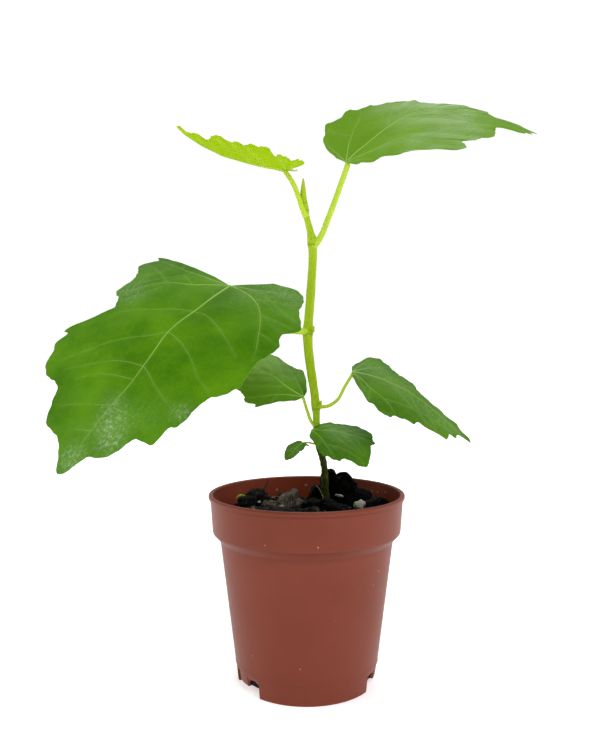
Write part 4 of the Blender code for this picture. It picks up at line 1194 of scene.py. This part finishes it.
def make_leaf(name, leaf, material):
    """One leaf: the blade's two skins on a fan grid joined round their edge, its veins as swept ribs that
    stand a little proud above and well proud below, and its stalk from inside the stem to the base."""
    base, length, along, left, up = leaf_axes(leaf)
    rows, columns = leaf["rows"], leaf["columns"]
    turn, reach, arc = blade_columns(leaf, length)
    out = np.linspace(0, 1, rows + 1)[1:, None] ** 0.9
    u, v = out * reach * np.cos(turn), out * reach * np.sin(turn)
    lines = vein_lines(leaf, length)
    near = distance_to(lines, u, v)
    height = blade_height(leaf, length, u, v, near, out, arc)

    def lift(u, v, height):
        """Places on the blade in space."""
        return base + u[..., None] * along + v[..., None] * left + height[..., None] * up

    thick = BLADE_THICKNESS * (0.45 + 0.55 * smooth(1.0, 0.93, out)) * min(1.0, 0.5 + length / 120)
    upper = lift(u, v, height)
    lower = lift(u, v, height - thick)
    count = rows * columns
    pole_height = float(height[0].mean())
    poles = lift(np.zeros(2), np.zeros(2), np.array([pole_height, pole_height - BLADE_THICKNESS]))
    points = np.concatenate([upper.reshape(-1, 3), lower.reshape(-1, 3), poles])
    first = np.arange(columns)
    rim = np.concatenate([[2 * count], np.arange(rows) * columns, (rows - 1) * columns + first[1:],
                          (np.arange(rows - 1)[::-1]) * columns + columns - 1])
    low_rim = np.where(rim < count, rim + count, 2 * count + 1)
    sides = np.stack([rim, low_rim, np.roll(low_rim, -1), np.roll(rim, -1)], -1)
    faces = [grid_faces(rows, columns), grid_faces(rows, columns, start=count, flip=True),
             fan_faces(2 * count, first, wrap=False),
             fan_faces(2 * count + 1, count + first, flip=True, wrap=False), sides]

    def above(value):
        """A value that only the upper skin has."""
        return np.concatenate([value.ravel(), np.zeros(count + 2)])

    flat = np.stack([u + FLAT_STEP * leaf["seed"], v, np.zeros_like(u)], -1).reshape(-1, 3)
    # Glossy patches: they make the coat glossy and carry a painted sheen and painted glints.
    gloss_and_painted_sheen = 0 * u
    for a, b, wide, much in leaf["gloss_and_painted_sheen"]:
        gloss_and_painted_sheen += much * np.exp(-((u - a) ** 2 + (v - b) ** 2) / wide ** 2)
    # Yellow-green share at base and tip, partly the leaf's own colour and partly painted light.
    at_base, at_tip = leaf["fresh"]
    share = np.clip(u / length, 0, 1)
    shape = Shape()
    shape.add(points, faces, flat=np.concatenate([flat, flat, np.zeros((2, 3))]),
              under=np.concatenate([np.zeros(count), np.ones(count), [0, 1]]),
              near=np.concatenate([near.ravel(), near.ravel(), [0, 0]]), gloss_and_painted_sheen=above(np.clip(gloss_and_painted_sheen, 0, 1)),
              fresh=above(at_base * (1 - share) + at_tip * share), wet=leaf["wet"], painted_shade=leaf["painted_shade"])
    add_ribs(shape, leaf, length, lines, lift)
    add_stalk(shape, leaf, length, lift, pole_height)
    shape.piece(name + "_fine", [name], material, sharp=50)


def add_ribs(shape, leaf, length, lines, lift):
    """Each vein as a lens-shaped rib: half-width across, slightly proud of the upper skin and a
    half-width and more below the lower one."""
    around = 10
    turn = round_turns(around)
    under = np.sin(turn) < 0
    for line, widths, pale in lines:
        u, v = line.T
        height = blade_height(leaf, length, u, v, near=0 * u, out=0 * u, arc=0 * u)
        ahead = np.gradient(line, axis=0)
        ahead /= np.linalg.norm(ahead, axis=1)[:, None]
        across = np.stack([-ahead[:, 1], ahead[:, 0]], -1)
        wide = widths[:, None]
        proud = np.where(np.sin(turn) > 0, 0.05 + 0.22 * wide, 1.5 * wide + BLADE_THICKNESS)
        ring = line[:, None] + (wide * np.cos(turn))[..., None] * across[:, None]
        lifted = lift(ring[..., 0], ring[..., 1], height[:, None] - 0.02 + proud * np.sin(turn)[None])
        place = np.concatenate([(ring + (FLAT_STEP * leaf["seed"], 0)).reshape(-1, 2), line[[0, -1]]])
        shape.add(*closed_tube(lifted, lifted.mean(1)[[0, -1]], flip=True),
                  rib=np.concatenate([np.repeat(pale, around), pale[[0, -1]]]),
                  under=np.concatenate([np.tile(under, len(line)), [1, 1]]),
                  flat=np.column_stack([place, np.zeros(len(place))]))


def add_stalk(shape, leaf, length, lift, pole_height):
    """The stalk: a limb through its knots to the blade's base, flared at its foot and under the blade, with
    a shallow groove along its upper side."""
    first, last = leaf["stalk_radius"]
    end = lift(np.array([0.012 * length]), np.zeros(1), np.array([pole_height - 0.5 * last]))[0]
    path = path_through([*leaf["stalk"], end], 90)
    share = np.linspace(0, 1, 90)
    radii = first + (last - first) * share
    radii = radii * (1 + 0.45 * np.exp(-(share / 0.09) ** 2) + 0.12 * np.exp(-((1 - share) / 0.05) ** 2))
    radii *= 1 + 0.02 * ripple(share[:, None] * 20, 3.0, 8)
    radii[-4:] *= (0.95, 0.85, 0.65, 0.35)
    around = 22
    groove = 1 - 0.10 * np.exp(-((round_turns(around) - math.pi / 2) / 0.35) ** 2)
    limb(shape, path, radii[:, None] * groove, around, (0.2, 1, 0.1), rib=2.0)


# ---- Stage

# Each light's name, place, target, size and power
SOFTBOXES = (
    ("softbox_front", (0.30, -0.85, 0.95), (0, 0, 0.14), 0.6, 6.6),
    ("softbox_high_left", (-0.86, -0.40, 0.78), (-0.05, -0.05, 0.15), 0.36, 3.0),
    ("softbox_back", (0.10, 0.62, 1.15), (0, 0, 0.2), 0.6, 4.5),
    ("softbox_left", (-0.95, 0.15, 0.30), (0, 0, 0.12), 0.7, 0.9),
    ("softbox_right", (0.95, 0.05, 0.32), (0, 0, 0.12), 0.7, 2.0),
)


def make_stage():
    """The floor, the surroundings, the softboxes and the camera."""
    make_floor()
    make_surroundings()
    for softbox in SOFTBOXES:
        add_softbox(*softbox)
    bpy.context.scene.view_settings.view_transform = "Standard"
    camera = add_object("camera", bpy.data.cameras.new("camera"))
    camera.location = CAMERA_PLACE
    camera.rotation_euler = (math.radians(90) - CAMERA_PITCH, 0, 0)
    camera.data.sensor_width = 36.0
    camera.data.lens = FOCAL_PIXELS / PHOTO_HEIGHT * 36.0
    camera.data.shift_x = MIDDLE_OFFSET / PHOTO_HEIGHT
    camera.data.clip_start = 0.01
    bpy.context.scene.camera = camera


def make_floor():
    """A wide pale floor that glows, less so under the pot, so that it meets the surroundings in white."""
    half = 8.0
    mesh = bpy.data.meshes.new("floor")
    corners = [(-half, -half, 0), (half, -half, 0), (half, half, 0), (-half, half, 0)]
    mesh.from_pydata(corners, [], [(0, 1, 2, 3)])
    floor = add_object("floor", mesh)
    white = Finish("floor_white", Roughness=0.9, Specular_IOR_Level=0.1, Emission_Strength=1.0,
                   Base_Color=(0.85, 0.85, 0.85))
    away = white.field("ShaderNodeVectorMath", "Value", {"operation": "LENGTH"}, white.place(1.0))
    white.set_shader(Emission_Color=white.mix(away.between(0.1, 0.7), (0.55, 0.55, 0.55), (1.0, 1.0, 1.0)))
    mesh.materials.append(white.material)


def make_surroundings():
    """The world: white to the eye, and as a light brighter behind the plant than in front of it."""
    world = bpy.data.worlds.new("studio")
    bpy.context.scene.world = world
    world.use_nodes = True
    nodes = Nodes(world.node_tree)
    seen = nodes.tree.nodes["Background"]
    nodes.put(seen.inputs["Strength"], 1.05)
    nodes.put(seen.inputs["Color"], (1.0, 1.0, 1.0))
    way = nodes.field("ShaderNodeTexCoord", "Generated")
    behind = nodes.field("ShaderNodeVectorMath", "Value", {"operation": "DOT_PRODUCT"}, way, (0.0, 0.45, -0.16))
    lighting = nodes.field("ShaderNodeBackground", 0, None, Strength=behind + 0.40)
    to_camera = nodes.field("ShaderNodeLightPath", "Is Camera Ray")
    either = nodes.field("ShaderNodeMixShader", 0, None, to_camera, lighting, Field(nodes, seen.outputs[0]))
    nodes.put(nodes.tree.nodes["World Output"].inputs["Surface"], either)


def add_softbox(name, place, target, size, power):
    """A round area light, turned from its place to its target."""
    light = bpy.data.lights.new(name, "AREA")
    light.shape = "DISK"
    light.size = size
    light.energy = power
    lamp = add_object(name, light)
    lamp.location = place
    x, y, z = np.array(target) - place
    lamp.rotation_euler = (math.atan2(math.hypot(x, y), -z), 0, math.atan2(y, x) - math.pi / 2)


def main():
    make_stage()
    make_pot(pot_finish())
    bark = bark_finish()
    make_compost(bark)
    make_chips(bark)
    make_stones(stone_finish())
    make_roots(root_finish())
    make_stem(stem_finish())
    skins = {
        "leaf_green": leaf_finish("leaf_green_skin", deep=rgb(62, 116, 1), light=rgb(94, 148, 12),
                                  under=rgb(124, 158, 78), rib=rgb(158, 194, 92), stalk=rgb(186, 212, 66),
                                  gloss=0.34, net_share=1.0),
        "leaf_young": leaf_finish("leaf_young_skin", deep=rgb(146, 178, 4), light=rgb(164, 196, 12),
                                  under=rgb(160, 194, 10), rib=rgb(192, 216, 84), stalk=rgb(190, 214, 60),
                                  gloss=0.36, net_share=0.0),
    }
    for seed, (name, own) in enumerate(LEAVES.items()):
        slot = "leaf_young" if name == "leaf_top_left" else "leaf_green"
        make_leaf(name, {**LEAF_DEFAULTS, **own, "seed": seed}, skins[slot])
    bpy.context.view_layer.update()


main()
